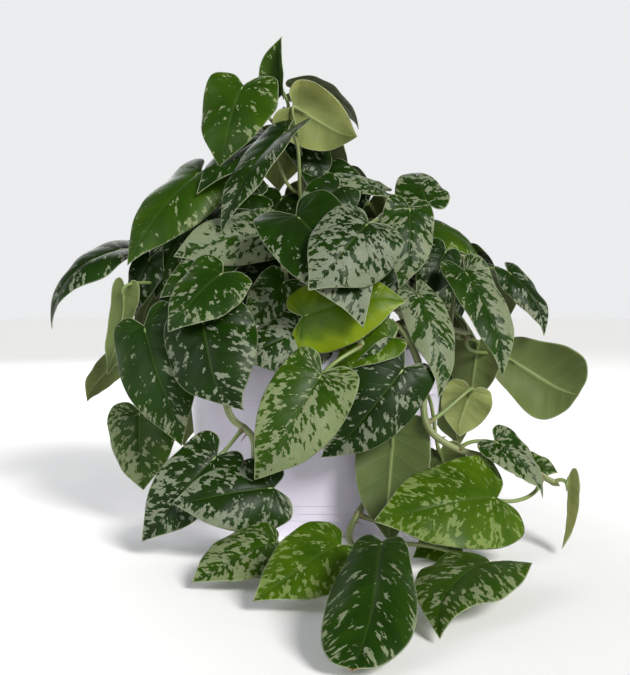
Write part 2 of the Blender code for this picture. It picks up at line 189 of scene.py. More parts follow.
class Skin:
    """A mesh in the making: closed surfaces with a finish number and values for each point."""

    def __init__(self) -> None:
        """Starts with no surface."""
        self.points: list[Array] = []
        self.faces: list[list[int]] = []
        self.finishes: list[Array] = []
        self.values: dict[str, list[Array]] = {}
        self.count = 0

    def add(self, rings: Array, finish: "int | Array" = 0, **values: Array) -> None:
        """Adds a surface closed round its rings and at both ends.

        The points of two neighbouring rings are joined by squares. The first and the last ring are
        drawn to one point each, the poles. If the volume comes out negative, every face is turned.

        Args:
            rings: rings by sides by 3.
            finish: one finish number, or one for each side of the ring.
            values: for each named value, rings by sides by 3.
        """
        count, sides = rings.shape[:2]
        body = np.arange((count - 2) * sides).reshape(count - 2, sides)
        turned = np.roll(body, -1, axis=1)
        quads = np.stack([body[:-1], turned[:-1], turned[1:], body[1:]], -1).reshape(-1, 4)
        first = np.full(sides, body.size)
        fans = [
            np.stack([first, turned[0], body[0]], -1),
            np.stack([first + 1, body[-1], turned[-1]], -1),
        ]
        points = self._poled(rings)
        corners = points[np.vstack([quads[:, :3], quads[:, [0, 2, 3]], *fans])]
        if np.linalg.det(corners - points.mean(0)).sum() < 0:
            quads = quads[:, ::-1]
            fans = [fan[:, ::-1] for fan in fans]
        self.faces += (quads + self.count).tolist()
        for fan in fans:
            self.faces += (fan + self.count).tolist()
        sidewise = np.broadcast_to(np.asarray(finish), sides)
        self.finishes.append(np.concatenate([np.tile(sidewise, count - 3), sidewise, sidewise]))
        self.points.append(points)
        self.count += len(points)
        for name, value in values.items():
            self.values.setdefault(name, []).append(self._poled(np.broadcast_to(value, rings.shape)))

    @staticmethod
    def _poled(rings: Array) -> Array:
        """The inner rings as rows, then the means of the first and of the last ring."""
        return np.vstack([rings[1:-1].reshape(-1, 3), rings[0].mean(0), rings[-1].mean(0)])

    def build(self, name: str, finishes: "list[bpy.types.Material]", slot: Slot) -> bpy.types.Object:
        """Makes the object, riding on the part's one body.

        Args:
            name: the piece's name.
            finishes: the materials, in the order of the finish numbers.
            slot: not used.

        Returns:
            The finished object, at the origin, with its place in its mesh.
        """
        mesh = bpy.data.meshes.new(name)
        mesh.from_pydata(np.vstack(self.points).tolist(), [], self.faces)
        mesh.polygons.foreach_set("material_index", np.concatenate(self.finishes).astype(np.int32))
        for value_name, rows in self.values.items():
            layer = mesh.attributes.new(value_name, "FLOAT_VECTOR", "POINT")
            layer.data.foreach_set("vector", np.vstack(rows).astype(np.float32).ravel())
        mesh.shade_smooth()
        mesh.validate()
        for material in finishes:
            mesh.materials.append(material)
        piece = bpy.data.objects.new(name, mesh)
        bpy.context.scene.collection.objects.link(piece)
        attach(piece, BODY)
        LOG.info("%s: %d faces", name, len(self.faces))
        return piece


# ---------------------------------------------------------------- finishes


class Graph:
    """A short way to wire a Principled material."""

    def __init__(self, name: str, roughness: float) -> None:
        """Starts a material.

        Args:
            name: the material's name.
            roughness: the roughness of its one Principled shader.
        """
        self.material = bpy.data.materials.new(name)
        self.material.use_nodes = True
        self.tree = self.material.node_tree
        self.shader = self.tree.nodes["Principled BSDF"]
        self.shader.inputs["Roughness"].default_value = roughness

    def node(self, kind: str, **settings: object) -> bpy.types.Node:
        """Adds a node.

        Args:
            kind: the node's type.
            settings: its properties.

        Returns:
            The node.
        """
        made = self.tree.nodes.new(kind)
        for key, value in settings.items():
            setattr(made, key, value)
        return made

    def feed(self, socket: bpy.types.NodeSocket, value: object) -> None:
        """Links a socket to another, or sets its value.

        Args:
            socket: the input.
            value: an output to link it to, or what it holds.
        """
        if isinstance(value, bpy.types.NodeSocket):
            self.tree.links.new(value, socket)
        else:
            socket.default_value = value

    def value(self, name: str) -> bpy.types.NodeSocket:
        """The vector stored on the mesh under this name."""
        return self.node("ShaderNodeAttribute", attribute_name=name).outputs["Vector"]

    def place(self) -> bpy.types.NodeSocket:
        """Object coordinates."""
        return self.node("ShaderNodeTexCoord").outputs["Object"]

    def split(self, vector: bpy.types.NodeSocket) -> "list[bpy.types.NodeSocket]":
        """The three numbers of a vector.

        Args:
            vector: the vector.

        Returns:
            Its X, Y and Z.
        """
        made = self.node("ShaderNodeSeparateXYZ")
        self.feed(made.inputs[0], vector)
        return list(made.outputs)

    def scaled(self, vector: bpy.types.NodeSocket, scale: tuple) -> bpy.types.NodeSocket:
        """A vector with each axis scaled.

        Args:
            vector: the vector.
            scale: a factor for each axis.

        Returns:
            The scaled vector.
        """
        made = self.node("ShaderNodeMapping")
        self.feed(made.inputs["Vector"], vector)
        made.inputs["Scale"].default_value = scale
        return made.outputs[0]

    def noise(
        self, vector: bpy.types.NodeSocket, scale: float, detail: float = 3.0, rough: float = 0.55
    ) -> bpy.types.NodeSocket:
        """Fractal noise, about 0.5 on average.

        Args:
            vector: where it is read.
            scale: how fine it is.
            detail: how many octaves it has.
            rough: how much each octave keeps of the one before.

        Returns:
            The noise.
        """
        made = self.node("ShaderNodeTexNoise")
        self.feed(made.inputs["Vector"], vector)
        made.inputs["Scale"].default_value = scale
        made.inputs["Detail"].default_value = detail
        made.inputs["Roughness"].default_value = rough
        return made.outputs["Fac"]

    def cells(self, vector: bpy.types.NodeSocket, ragged: float) -> bpy.types.NodeSocket:
        """An even number from 0 to 1 for each cell of a scattered pattern.

        Args:
            vector: where it is read, in cells.
            ragged: how far noise pushes the cells' borders.

        Returns:
            The cell's number.
        """
        push = self.node("ShaderNodeTexNoise")
        self.feed(push.inputs["Vector"], vector)
        push.inputs["Scale"].default_value = 1.9
        push.inputs["Detail"].default_value = 2.0
        moved = self.node("ShaderNodeVectorMath", operation="MULTIPLY_ADD")
        self.feed(moved.inputs[0], push.outputs["Color"])
        moved.inputs[1].default_value = (ragged * 2, ragged * 2, 0.0)
        self.feed(moved.inputs[2], vector)
        made = self.node("ShaderNodeTexVoronoi")
        self.feed(made.inputs["Vector"], moved.outputs[0])
        made.inputs["Scale"].default_value = 1.0
        return self.split(made.outputs["Color"])[0]

    def math(self, operation: str, a: object, b: object = 0.0, c: object = 0.0) -> bpy.types.NodeSocket:
        """A sum, product or the like.

        Args:
            operation: what is done.
            a: the first number.
            b: the second.
            c: the third.

        Returns:
            The result.
        """
        made = self.node("ShaderNodeMath", operation=operation)
        for socket, value in zip(made.inputs, (a, b, c)):
            self.feed(socket, value)
        return made.outputs[0]

    def sway(self, noise: bpy.types.NodeSocket, reach: float, value: object) -> bpy.types.NodeSocket:
        """A value moved up and down by a noise, by up to half of the reach."""
        return self.math("MULTIPLY_ADD", self.math("SUBTRACT", noise, 0.5), reach, value)

    def fall(self, value: bpy.types.NodeSocket, low: float, high: float) -> bpy.types.NodeSocket:
        """A share that falls smoothly from 1 at low to 0 at high."""
        return self.math("SUBTRACT", 1.0, self.step(value, low, high))

    def step(self, value: bpy.types.NodeSocket, low: float, high: float) -> bpy.types.NodeSocket:
        """A share that rises smoothly.

        Args:
            value: what it follows.
            low: where it is 0.
            high: where it is 1.

        Returns:
            The share.
        """
        made = self.node("ShaderNodeMapRange", interpolation_type="SMOOTHSTEP")
        self.feed(made.inputs["Value"], value)
        made.inputs["From Min"].default_value = low
        made.inputs["From Max"].default_value = high
        return made.outputs[0]

    def mix(self, share: object, a: object, b: object) -> bpy.types.NodeSocket:
        """A colour between two colours.

        Args:
            share: how much of the second.
            a: the first colour.
            b: the second colour.

        Returns:
            The mixed colour.
        """
        made = self.node("ShaderNodeMix", data_type="RGBA")
        self.feed(made.inputs[0], share)
        for socket, colour in ((made.inputs[6], a), (made.inputs[7], b)):
            self.feed(socket, (*colour, 1.0) if isinstance(colour, tuple) else colour)
        return made.outputs[2]

    def ramp(self, share: object, stops: tuple) -> bpy.types.NodeSocket:
        """A colour read from a scale.

        Args:
            share: the place on the scale.
            stops: rows of (place, colour).

        Returns:
            The colour.
        """
        made = self.node("ShaderNodeValToRGB")
        self.feed(made.inputs[0], share)
        elements = made.color_ramp.elements
        for i, (place, colour) in enumerate(stops):
            element = elements[i] if i < 2 else elements.new(place)
            element.position = place
            element.color = (*colour, 1.0)
        return made.outputs[0]

    def bump(self, height: bpy.types.NodeSocket, depth: float, strength: float = 1.0) -> None:
        """Adds relief to the shader.

        Args:
            height: the relief, from 0 to 1.
            depth: how deep that is, in metres.
            strength: how much of it counts.
        """
        made = self.node("ShaderNodeBump")
        made.inputs["Distance"].default_value = depth
        made.inputs["Strength"].default_value = strength
        self.feed(made.inputs["Height"], height)
        self.feed(self.shader.inputs["Normal"], made.outputs[0])

    def colour(self, value: object) -> None:
        """Sets or links the shader's colour."""
        self.feed(self.shader.inputs["Base Color"], (*value, 1.0) if isinstance(value, tuple) else value)

    def roughness(self, value: bpy.types.NodeSocket) -> None:
        """Links the shader's roughness."""
        self.feed(self.shader.inputs["Roughness"], value)


@dataclass(frozen=True)
class LeafFinish:
    """The three finishes of a leaf: its upper side, its underside and its petiole."""

    greens: tuple = (
        (0.0, (0.005, 0.017, 0.0005)),
        (0.25, (0.009, 0.031, 0.0006)),
        (0.5, (0.021, 0.053, 0.0008)),
        (0.78, (0.048, 0.098, 0.001)),
        (1.0, (0.13, 0.19, 0.003)),
    )
    silvers: tuple = (
        (0.0, (0.20, 0.225, 0.165)),
        (0.45, (0.215, 0.25, 0.13)),
        (0.65, (0.17, 0.225, 0.07)),
        (1.0, (0.20, 0.28, 0.05)),
    )
    unders: tuple = ((0.0, (0.065, 0.095, 0.026)), (0.5, (0.115, 0.15, 0.043)), (1.0, (0.27, 0.29, 0.09)))
    under_green: tuple = (0.06, 0.10, 0.02)
    margin: tuple = (0.29, 0.33, 0.20)
    rust: tuple = (0.30, 0.10, 0.02)
    petiole_green: tuple = (0.13, 0.19, 0.045)
    petiole_pale: tuple = (0.22, 0.27, 0.10)
    sheath_brown: tuple = (0.14, 0.085, 0.035)

    blotch_scale: tuple = (105.0, 150.0, 1.0)
    fleck_scale: tuple = (310.0, 500.0, 1.0)
    speck_scale: tuple = (560.0, 800.0, 1.0)
    mottle_scale: tuple = (45.0, 70.0, 1.0)
    under_mottle_scale: tuple = (60.0, 60.0, 1.0)
    grain_scale: tuple = (900.0, 900.0, 1.0)
    silver_from: float = 0.522
    silver_to: float = 0.545
    silver_cover: float = 0.93
    relief: float = 0.35 * MM

    def upper(self) -> bpy.types.Material:
        """Green with jagged silver blotches along the veins, a pale margin and a rusty tip.

        Returns:
            The material.
        """
        graph = Graph("leaf_upper_side", 0.4)
        graph.shader.inputs["Specular IOR Level"].default_value = 0.12
        vein = graph.value("vein")
        bias, tone, edge = graph.split(graph.value("look"))
        reach, round_share, along = graph.split(graph.value("share"))
        broad = graph.noise(graph.scaled(vein, self.blotch_scale), 1.0, 3.0, 0.55)
        score = graph.sway(graph.cells(graph.scaled(vein, self.fleck_scale), 0.6), 0.42, broad)
        score = graph.sway(graph.noise(graph.scaled(vein, self.speck_scale), 1.0, 2.0), 0.22, score)
        score = graph.math("MULTIPLY_ADD", bias, 1.6, score)
        silver_share = graph.step(score, self.silver_from, self.silver_to)
        mottle = graph.noise(graph.scaled(vein, self.mottle_scale), 1.0, 4.0)
        green = graph.ramp(graph.sway(mottle, 0.6, tone), self.greens)
        grain = graph.noise(graph.scaled(vein, self.grain_scale), 1.0, 2.0)
        silver = graph.mix(graph.math("MULTIPLY", grain, 0.5), graph.ramp(tone, self.silvers), green)
        base = graph.mix(graph.math("MULTIPLY", silver_share, self.silver_cover), green, silver)
        rib = graph.math("MULTIPLY", graph.fall(reach, 0.012, 0.045), 0.25)
        base = graph.mix(rib, base, self.under_green)
        base = graph.mix(graph.math("MULTIPLY", graph.fall(edge, 0.25, 0.75), 0.75), base, self.margin)
        rusty = graph.math("MULTIPLY", graph.step(along, 0.99, 1.0), graph.step(broad, 0.42, 0.55))
        graph.colour(graph.mix(rusty, base, self.rust))
        rough = graph.math("MULTIPLY_ADD", grain, 0.1, 0.33)
        graph.roughness(graph.math("MULTIPLY_ADD", silver_share, 0.08, rough))
        veins = self.vein_lines(graph, round_share)
        height = graph.math("MULTIPLY_ADD", grain, 0.12, graph.math("MULTIPLY", veins, -0.18))
        graph.bump(graph.math("MULTIPLY_ADD", silver_share, 0.2, height), self.relief)
        return graph.material

    def under(self) -> bpy.types.Material:
        """Matt grey-green, with the veins standing paler.

        Returns:
            The material.
        """
        graph = Graph("leaf_underside", 0.55)
        graph.shader.inputs["Specular IOR Level"].default_value = 0.15
        vein = graph.value("vein")
        tone, edge = graph.split(graph.value("look"))[1:]
        reach, round_share = graph.split(graph.value("share"))[:2]
        mottle = graph.noise(graph.scaled(vein, self.under_mottle_scale), 1.0, 4.0)
        base = graph.ramp(graph.sway(mottle, 0.5, tone), self.unders)
        veins = self.vein_lines(graph, round_share)
        base = graph.mix(graph.math("MULTIPLY", veins, 0.05), base, self.margin)
        rib = graph.math("MULTIPLY", graph.fall(reach, 0.02, 0.07), 0.7)
        base = graph.mix(rib, base, self.petiole_pale)
        base = graph.mix(graph.math("MULTIPLY", graph.fall(edge, 0.3, 0.9), 0.6), base, self.margin)
        graph.colour(base)
        grain = graph.noise(graph.scaled(vein, self.grain_scale), 1.0, 2.0)
        height = graph.math("MULTIPLY_ADD", veins, 0.2, graph.math("MULTIPLY", grain, 0.2))
        graph.bump(height, self.relief)
        return graph.material

    @staticmethod
    def vein_lines(graph: Graph, round_share: bpy.types.NodeSocket) -> bpy.types.NodeSocket:
        """Thin lines where the share of the way round the outline, times eleven, is a whole number."""
        wave = graph.math("PINGPONG", graph.math("MULTIPLY", round_share, 11.0), 0.5)
        return graph.fall(wave, 0.0, 0.09)

    def petiole(self) -> bpy.types.Material:
        """Smooth pale green, streaked along its length, with a brown papery foot.

        Returns:
            The material.
        """
        graph = Graph("petiole", 0.42)
        vein = graph.value("vein")
        foot = graph.split(graph.value("share"))[0]
        streak = graph.noise(graph.scaled(vein, (1200.0, 45.0, 1.0)), 1.0, 3.0)
        base = graph.mix(graph.step(streak, 0.35, 0.7), self.petiole_green, self.petiole_pale)
        base = graph.mix(graph.math("MULTIPLY", graph.fall(foot, 0.02, 0.13), 0.7), base, self.sheath_brown)
        graph.colour(base)
        graph.bump(streak, 0.2 * MM)
        return graph.material


@dataclass(frozen=True)
class StemFinish:
    """The bare stems and their roots."""

    green: tuple = (0.11, 0.15, 0.04)
    pale: tuple = (0.24, 0.28, 0.12)
    cork: tuple = (0.14, 0.085, 0.045)

    def stem(self) -> bpy.types.Material:
        """Olive green with paler streaks, small cork spots and brown rings at the nodes.

        Returns:
            The material.
        """
        graph = Graph("stem", 0.5)
        vein = graph.value("vein")
        ring, age = graph.split(graph.value("share"))[:2]
        streak = graph.noise(graph.scaled(vein, (900.0, 30.0, 1.0)), 1.0, 4.0)
        base = graph.mix(graph.step(streak, 0.35, 0.68), self.green, self.pale)
        spots = graph.step(graph.noise(graph.place(), 520.0, 2.0), 0.64, 0.72)
        base = graph.mix(graph.math("MULTIPLY", spots, 0.7), base, self.cork)
        rings = graph.math("MULTIPLY", graph.step(ring, 0.55, 0.95), 0.75)
        base = graph.mix(rings, base, self.cork)
        base = graph.mix(graph.math("MULTIPLY", graph.step(age, 0.5, 1.0), 0.8), base, self.cork)
        graph.colour(base)
        graph.bump(streak, 0.35 * MM)
        return graph.material

    def root(self) -> bpy.types.Material:
        """Dry brown cork.

        Returns:
            The material.
        """
        graph = Graph("aerial_root", 0.8)
        grain = graph.noise(graph.place(), 900.0, 4.0)
        graph.colour(graph.mix(grain, (0.10, 0.055, 0.03), (0.33, 0.21, 0.11)))
        graph.bump(grain, 0.3 * MM)
        return graph.material


@dataclass(frozen=True)
class PlasticFinish:
    """Moulded plastic with a fine texture, faint scuffs and a little dust."""

    name: str
    shade: tuple
    scuffed: tuple
    dust: tuple
    dust_share: float
    roughness: float

    def make(self) -> bpy.types.Material:
        """The plastic's material.

        Returns:
            The material.
        """
        graph = Graph(self.name, self.roughness)
        place = graph.place()
        broad = graph.noise(place, 14.0, 3.0)
        scratch = graph.noise(graph.scaled(place, (60.0, 60.0, 900.0)), 1.0, 2.0)
        worn = graph.math("MULTIPLY", graph.step(scratch, 0.66, 0.74), graph.step(broad, 0.45, 0.6))
        base = graph.mix(graph.math("MULTIPLY", worn, 0.5), self.shade, self.scuffed)
        specks = graph.step(graph.noise(place, 420.0, 3.0, 0.6), 0.74 - 0.14 * self.dust_share, 0.80)
        base = graph.mix(graph.math("MULTIPLY", specks, self.dust_share), base, self.dust)
        graph.colour(base)
        grain = graph.noise(place, 1500.0, 2.0)
        varied = graph.math("MULTIPLY_ADD", broad, 0.12, self.roughness - 0.06)
        graph.roughness(graph.math("MULTIPLY_ADD", worn, 0.2, varied))
        graph.bump(grain, 0.06 * MM)
        return graph.material


WHITE_PLASTIC = PlasticFinish(
    "white_plastic", (0.70, 0.66, 0.775), (0.57, 0.55, 0.61), (0.30, 0.22, 0.16), 0.10, 0.34
)
BLACK_PLASTIC = PlasticFinish(
    "black_plastic", (0.012, 0.012, 0.013), (0.05, 0.05, 0.05), (0.24, 0.19, 0.14), 0.75, 0.22
)


@dataclass(frozen=True)
class SoilFinish:
    """Damp potting mix and what is strewn in it."""

    def bed(self) -> bpy.types.Material:
        """Near-black to brown crumbs.

        Returns:
            The material.
        """
        graph = Graph("soil_bed", 0.92)
        place = graph.place()
        crumbs = graph.noise(place, 260.0, 6.0, 0.7)
        fibres = graph.noise(graph.scaled(place, (500.0, 90.0, 300.0)), 1.0, 3.0)
        damp, moist, dry = (0.008, 0.005, 0.003), (0.045, 0.028, 0.016), (0.12, 0.075, 0.04)
        base = graph.ramp(crumbs, ((0.3, damp), (0.6, moist), (0.8, dry)))
        fibre_share = graph.math("MULTIPLY", graph.step(fibres, 0.62, 0.7), 0.5)
        graph.colour(graph.mix(fibre_share, base, (0.16, 0.10, 0.05)))
        graph.bump(crumbs, 1.5 * MM)
        return graph.material

    def granule(self, name: str, dark: tuple, light: tuple) -> bpy.types.Material:
        """A rough mineral or bark.

        Args:
            name: the material's name.
            dark: its darkest colour.
            light: its palest colour.

        Returns:
            The material.
        """
        graph = Graph(name, 0.85)
        grain = graph.noise(graph.place(), 700.0, 5.0, 0.65)
        graph.colour(graph.mix(graph.step(grain, 0.3, 0.7), dark, light))
        graph.bump(grain, 0.4 * MM)
        return graph.material


# ---------------------------------------------------------------- pots and soil


def turned_rings(profile: Array, segments: int) -> Array:
    """A profile turned about Z: radius times cosine and sine, and height.

    Args:
        profile: rows of (radius, height).
        segments: points round the axis.

    Returns:
        Rings by segments by 3.
    """
    angle = np.linspace(0, math.tau, segments, endpoint=False)
    radius, height = profile[:, :1], profile[:, 1:]
    return np.stack([radius * np.cos(angle), radius * np.sin(angle), height + 0 * angle], -1)


def rounded_profile(corners: "list[tuple]", steps: int = 4) -> Array:
    """A turned profile with each corner cut to an arc.

    Args:
        corners: (radius, height, size of the rounding) at each corner, the ends on the axis.
        steps: points in each arc.

    Returns:
        Rows of (radius, height): round a corner P between A and B the curve is the quadratic that
        leaves PA at the rounding's size from P and meets PB at the same distance.
    """
    points = np.array([corner[:2] for corner in corners])
    rows = [points[0]]
    for i in range(1, len(corners) - 1):
        size = corners[i][2]
        before, after = points[i - 1] - points[i], points[i + 1] - points[i]
        start = points[i] + before * min(0.45, size / np.linalg.norm(before))
        end = points[i] + after * min(0.45, size / np.linalg.norm(after))
        for t in np.linspace(0, 1, steps):
            rows.append((1 - t) ** 2 * start + 2 * t * (1 - t) * points[i] + t**2 * end)
    rows.append(points[-1])
    return np.array(rows)


@dataclass
class OuterPot:
    """The white pot, from its foot with three shallow steps to its rim band."""

    height: float
    brim_radius: float
    foot_radius: float = 91 * MM
    band_foot: float = 100 * MM
    band_radius: float = 103.5 * MM
    taper: float = 0.092
    wall: float = 2.2 * MM
    floor: float = 3 * MM
    step_heights: tuple = (11.5 * MM, 17 * MM, 23 * MM)
    step_depth: float = 0.7 * MM
    notches: int = 12
    notch_half_angle: float = 0.05
    notch_height: float = 3 * MM
    notch_reach: float = 6 * MM
    segments: int = 720

    def wall_radius(self, height: float) -> float:
        """Outer radius of the taper at a height."""
        return self.foot_radius + self.taper * height

    def profile(self) -> Array:
        """The wall in section, from the middle of the foot round the brim to the inside.

        Returns:
            Rows of (radius, height), round the wall's whole section.
        """
        fine = 0.5 * MM
        corners = [
            (0.0, 0.0, 0.0),
            (self.foot_radius - 7 * MM, 0.0, fine),
            (self.foot_radius - 5 * MM, 0.0, fine),
            (self.foot_radius - 0.6 * MM, 0.0, 0.8 * MM),
        ]
        inset = len(self.step_heights) * self.step_depth
        corners.append((self.wall_radius(3 * MM) - inset, 3.2 * MM, fine))
        for height in self.step_heights:
            corners.append((self.wall_radius(height) - inset, height, 0.35 * MM))
            inset -= self.step_depth
            corners.append((self.wall_radius(height) - inset, height + 0.6 * MM, 0.35 * MM))
        corners += [
            (self.wall_radius(self.band_foot - 0.8 * MM), self.band_foot - 0.8 * MM, 0.2 * MM),
            (self.wall_radius(self.band_foot) - 0.5 * MM, self.band_foot - 0.1 * MM, 0.2 * MM),
            (self.band_radius, self.band_foot + 0.3 * MM, 0.6 * MM),
            (self.brim_radius, self.height - 0.6 * MM, 1.0 * MM),
            (self.brim_radius - 0.8 * MM, self.height, 0.5 * MM),
            (self.brim_radius - self.wall, self.height, 0.8 * MM),
            (self.wall_radius(self.band_foot) - self.wall, self.band_foot - 6 * MM, 3 * MM),
            (self.wall_radius(0.0) - self.wall - 3 * MM, self.floor, 3 * MM),
            (0.0, self.floor, 0.0),
        ]
        return rounded_profile(corners)

    def build(self) -> bpy.types.Object:
        """Turns the pot and presses the drainage notches into the foot's edge.

        Over each notch, a point of the foot's outer edge lower than the notch is lifted to its
        roof: the lift fades over a thousandth of a turn at both sides and at the notch's inner end.

        Returns:
            The pot.
        """
        rings = turned_rings(self.profile(), self.segments)
        angle = np.arctan2(rings[..., 1], rings[..., 0])
        pitch = math.tau / self.notches
        off = np.abs((angle - 0.25 * pitch + pitch / 2) % pitch - pitch / 2)
        radius = np.hypot(rings[..., 0], rings[..., 1])
        inner_end = self.foot_radius - self.notch_reach
        outside = smoothstep(inner_end - 0.6 * MM, inner_end, radius)
        inside = 1 - smoothstep(self.notch_half_angle, self.notch_half_angle + 0.006, off)
        low = (rings[..., 2] < self.notch_height) & (np.arange(len(rings)) < len(rings) // 2)[:, None]
        lift = np.where(low, (self.notch_height - rings[..., 2]) * inside * outside, 0.0)
        rings[..., 2] += lift
        skin = Skin()
        skin.add(rings)
        pot = skin.build("white_outer_pot", [WHITE_PLASTIC.make()], Slot.WHITE_POT)
        pot.data.set_sharp_from_angle(angle=math.radians(50))
        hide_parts("outer_pot")
        return pot


@dataclass
class GrowPot:
    """The black liner that the plant grows in: a thin wall and a rolled lip over the brim."""

    low: float
    high: float
    lip_radius: float
    foot_radius: float = 82 * MM
    top_radius: float = 100 * MM
    wall: float = 1.6 * MM
    lip_height: float = 4.2 * MM
    segments: int = 256

    def build(self) -> bpy.types.Object:
        """Turns the liner, with a faint wave in its lip as thin moulded plastic has.

        Returns:
            The liner.
        """
        lip_foot = self.high - self.lip_height
        corners = [
            (0.0, self.low, 0.0),
            (self.foot_radius, self.low, 2 * MM),
            (self.top_radius, lip_foot, 0.5 * MM),
            (self.lip_radius, lip_foot, 1.2 * MM),
            (self.lip_radius, self.high, 1.6 * MM),
            (self.lip_radius - 4 * MM, self.high, 1.0 * MM),
            (self.lip_radius - 6 * MM, self.high - 1.4 * MM, 1.5 * MM),
            (self.top_radius - self.wall, self.high - 1.4 * MM, 1.2 * MM),
            (self.foot_radius - self.wall, self.low + self.wall, 2 * MM),
            (0.0, self.low + self.wall, 0.0),
        ]
        rings = turned_rings(rounded_profile(corners, 6), self.segments)
        angle = np.arctan2(rings[..., 1], rings[..., 0])
        share = smoothstep(lip_foot + 2 * MM, self.high, rings[..., 2])
        rings[..., 2] -= share * 0.35 * MM * (1 + np.sin(5 * angle + 0.7))
        skin = Skin()
        skin.add(rings)
        pot = skin.build("black_grow_pot", [BLACK_PLASTIC.make()], Slot.BLACK_POT)
        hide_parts("grow_pot")
        return pot


@dataclass
class SoilBed:
    """The potting mix, with crumbs, pale perlite and bark strewn over it."""

    low: float
    rim_height: float
    rim_radius: float
    dome: float = 4 * MM
    lumps: tuple = ((2.2 * MM, 14 * MM), (1.3 * MM, 5 * MM), (0.8 * MM, 2 * MM))
    rings: int = 64
    segments: int = 220

    def height(self, x: Array, y: Array) -> Array:
        """Height of the bed: a low dome, plus three sizes of lumps that fade towards the rim.

        Args:
            x: places across.
            y: places from front to back.

        Returns:
            The height at each place.
        """
        share = np.clip(np.hypot(x, y) / self.rim_radius, 0, 1)
        lumps = 0.0
        for seed, (rise, size) in enumerate(self.lumps, 1):
            lumps = lumps + rise * (lattice_noise(x / size, y / size, seed) - 0.5)
        return self.rim_height + self.dome * (1 - share**2) + lumps * (1 - share**6)

    def build(self) -> "list[bpy.types.Object]":
        """Makes the bed and what lies on it.

        Returns:
            The bed and what lies on it.
        """
        share = np.linspace(1, 0, self.rings)[:, None] ** 0.8
        angle = np.linspace(0, math.tau, self.segments, endpoint=False)
        x = self.rim_radius * share * np.cos(angle)
        y = self.rim_radius * share * np.sin(angle)
        top = np.stack([x, y, self.height(x, y)], -1)
        foot = 0.8 * top[:1] * (1, 1, 0) + (0, 0, self.low)
        middle = np.broadcast_to(np.array([0, 0, self.low]), foot.shape)
        skin = Skin()
        skin.add(np.concatenate([middle, foot, top]))
        finish = SoilFinish()
        bed = skin.build("soil_bed", [finish.bed()], Slot.SOIL)
        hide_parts("soil")
        perlite = finish.granule("perlite", (0.48, 0.45, 0.40), (0.82, 0.80, 0.75))
        bark = finish.granule("bark", (0.06, 0.03, 0.015), (0.26, 0.15, 0.08))
        crumb = finish.granule("crumb", (0.012, 0.008, 0.005), (0.07, 0.045, 0.028))
        return [
            bed,
            self.strewn("perlite_granules", perlite, 150, (0.9 * MM, 2.2 * MM), (1, 1, 0.8), 5),
            self.strewn("bark_chips", bark, 90, (1.8 * MM, 4.6 * MM), (1, 0.55, 0.3), 6),
            self.strewn("soil_crumbs", crumb, 420, (0.9 * MM, 2.6 * MM), (1, 0.9, 0.7), 7),
        ]

    def strewn(
        self, name: str, material: bpy.types.Material, count: int, sizes: tuple, shape: tuple, seed: int
    ) -> bpy.types.Object:
        """Granules lying on the bed.

        Args:
            name: the piece's name.
            material: what they are made of.
            count: how many.
            sizes: smallest and largest radius.
            shape: how much of the radius each axis has.
            seed: start of the random numbers.

        Returns:
            One piece: each granule is a globe of a few rings, each point pushed in or out by up to a
            quarter, turned about Z, and set half sunk at a random place.
        """
        random = np.random.default_rng(seed)
        tilt = np.linspace(0, math.pi, 6)[:, None]
        turn = np.linspace(0, math.tau, 7, endpoint=False)
        level = np.cos(tilt) + 0 * turn
        globe = np.stack([np.sin(tilt) * np.cos(turn), np.sin(tilt) * np.sin(turn), level], -1)
        skin = Skin()
        for _ in range(count):
            radius = random.uniform(*sizes)
            away = (self.rim_radius - 3 * MM) * math.sqrt(random.uniform(0, 1))
            bearing = random.uniform(0, math.tau)
            x, y = away * math.cos(bearing), away * math.sin(bearing)
            heading = random.uniform(0, math.tau)
            lump = globe * random.uniform(0.75, 1.15, globe.shape[:2] + (1,)) * np.array(shape) * radius
            cosine, sine = math.cos(heading), math.sin(heading)
            spin = np.array([[cosine, sine, 0], [-sine, cosine, 0], [0, 0, 1]])
            height = float(self.height(np.array(x), np.array(y)))
            skin.add(lump @ spin + (x, y, height + 0.25 * radius * shape[2]))
        return skin.build(name, [material], Slot.SOIL)


# ---------------------------------------------------------------- stems


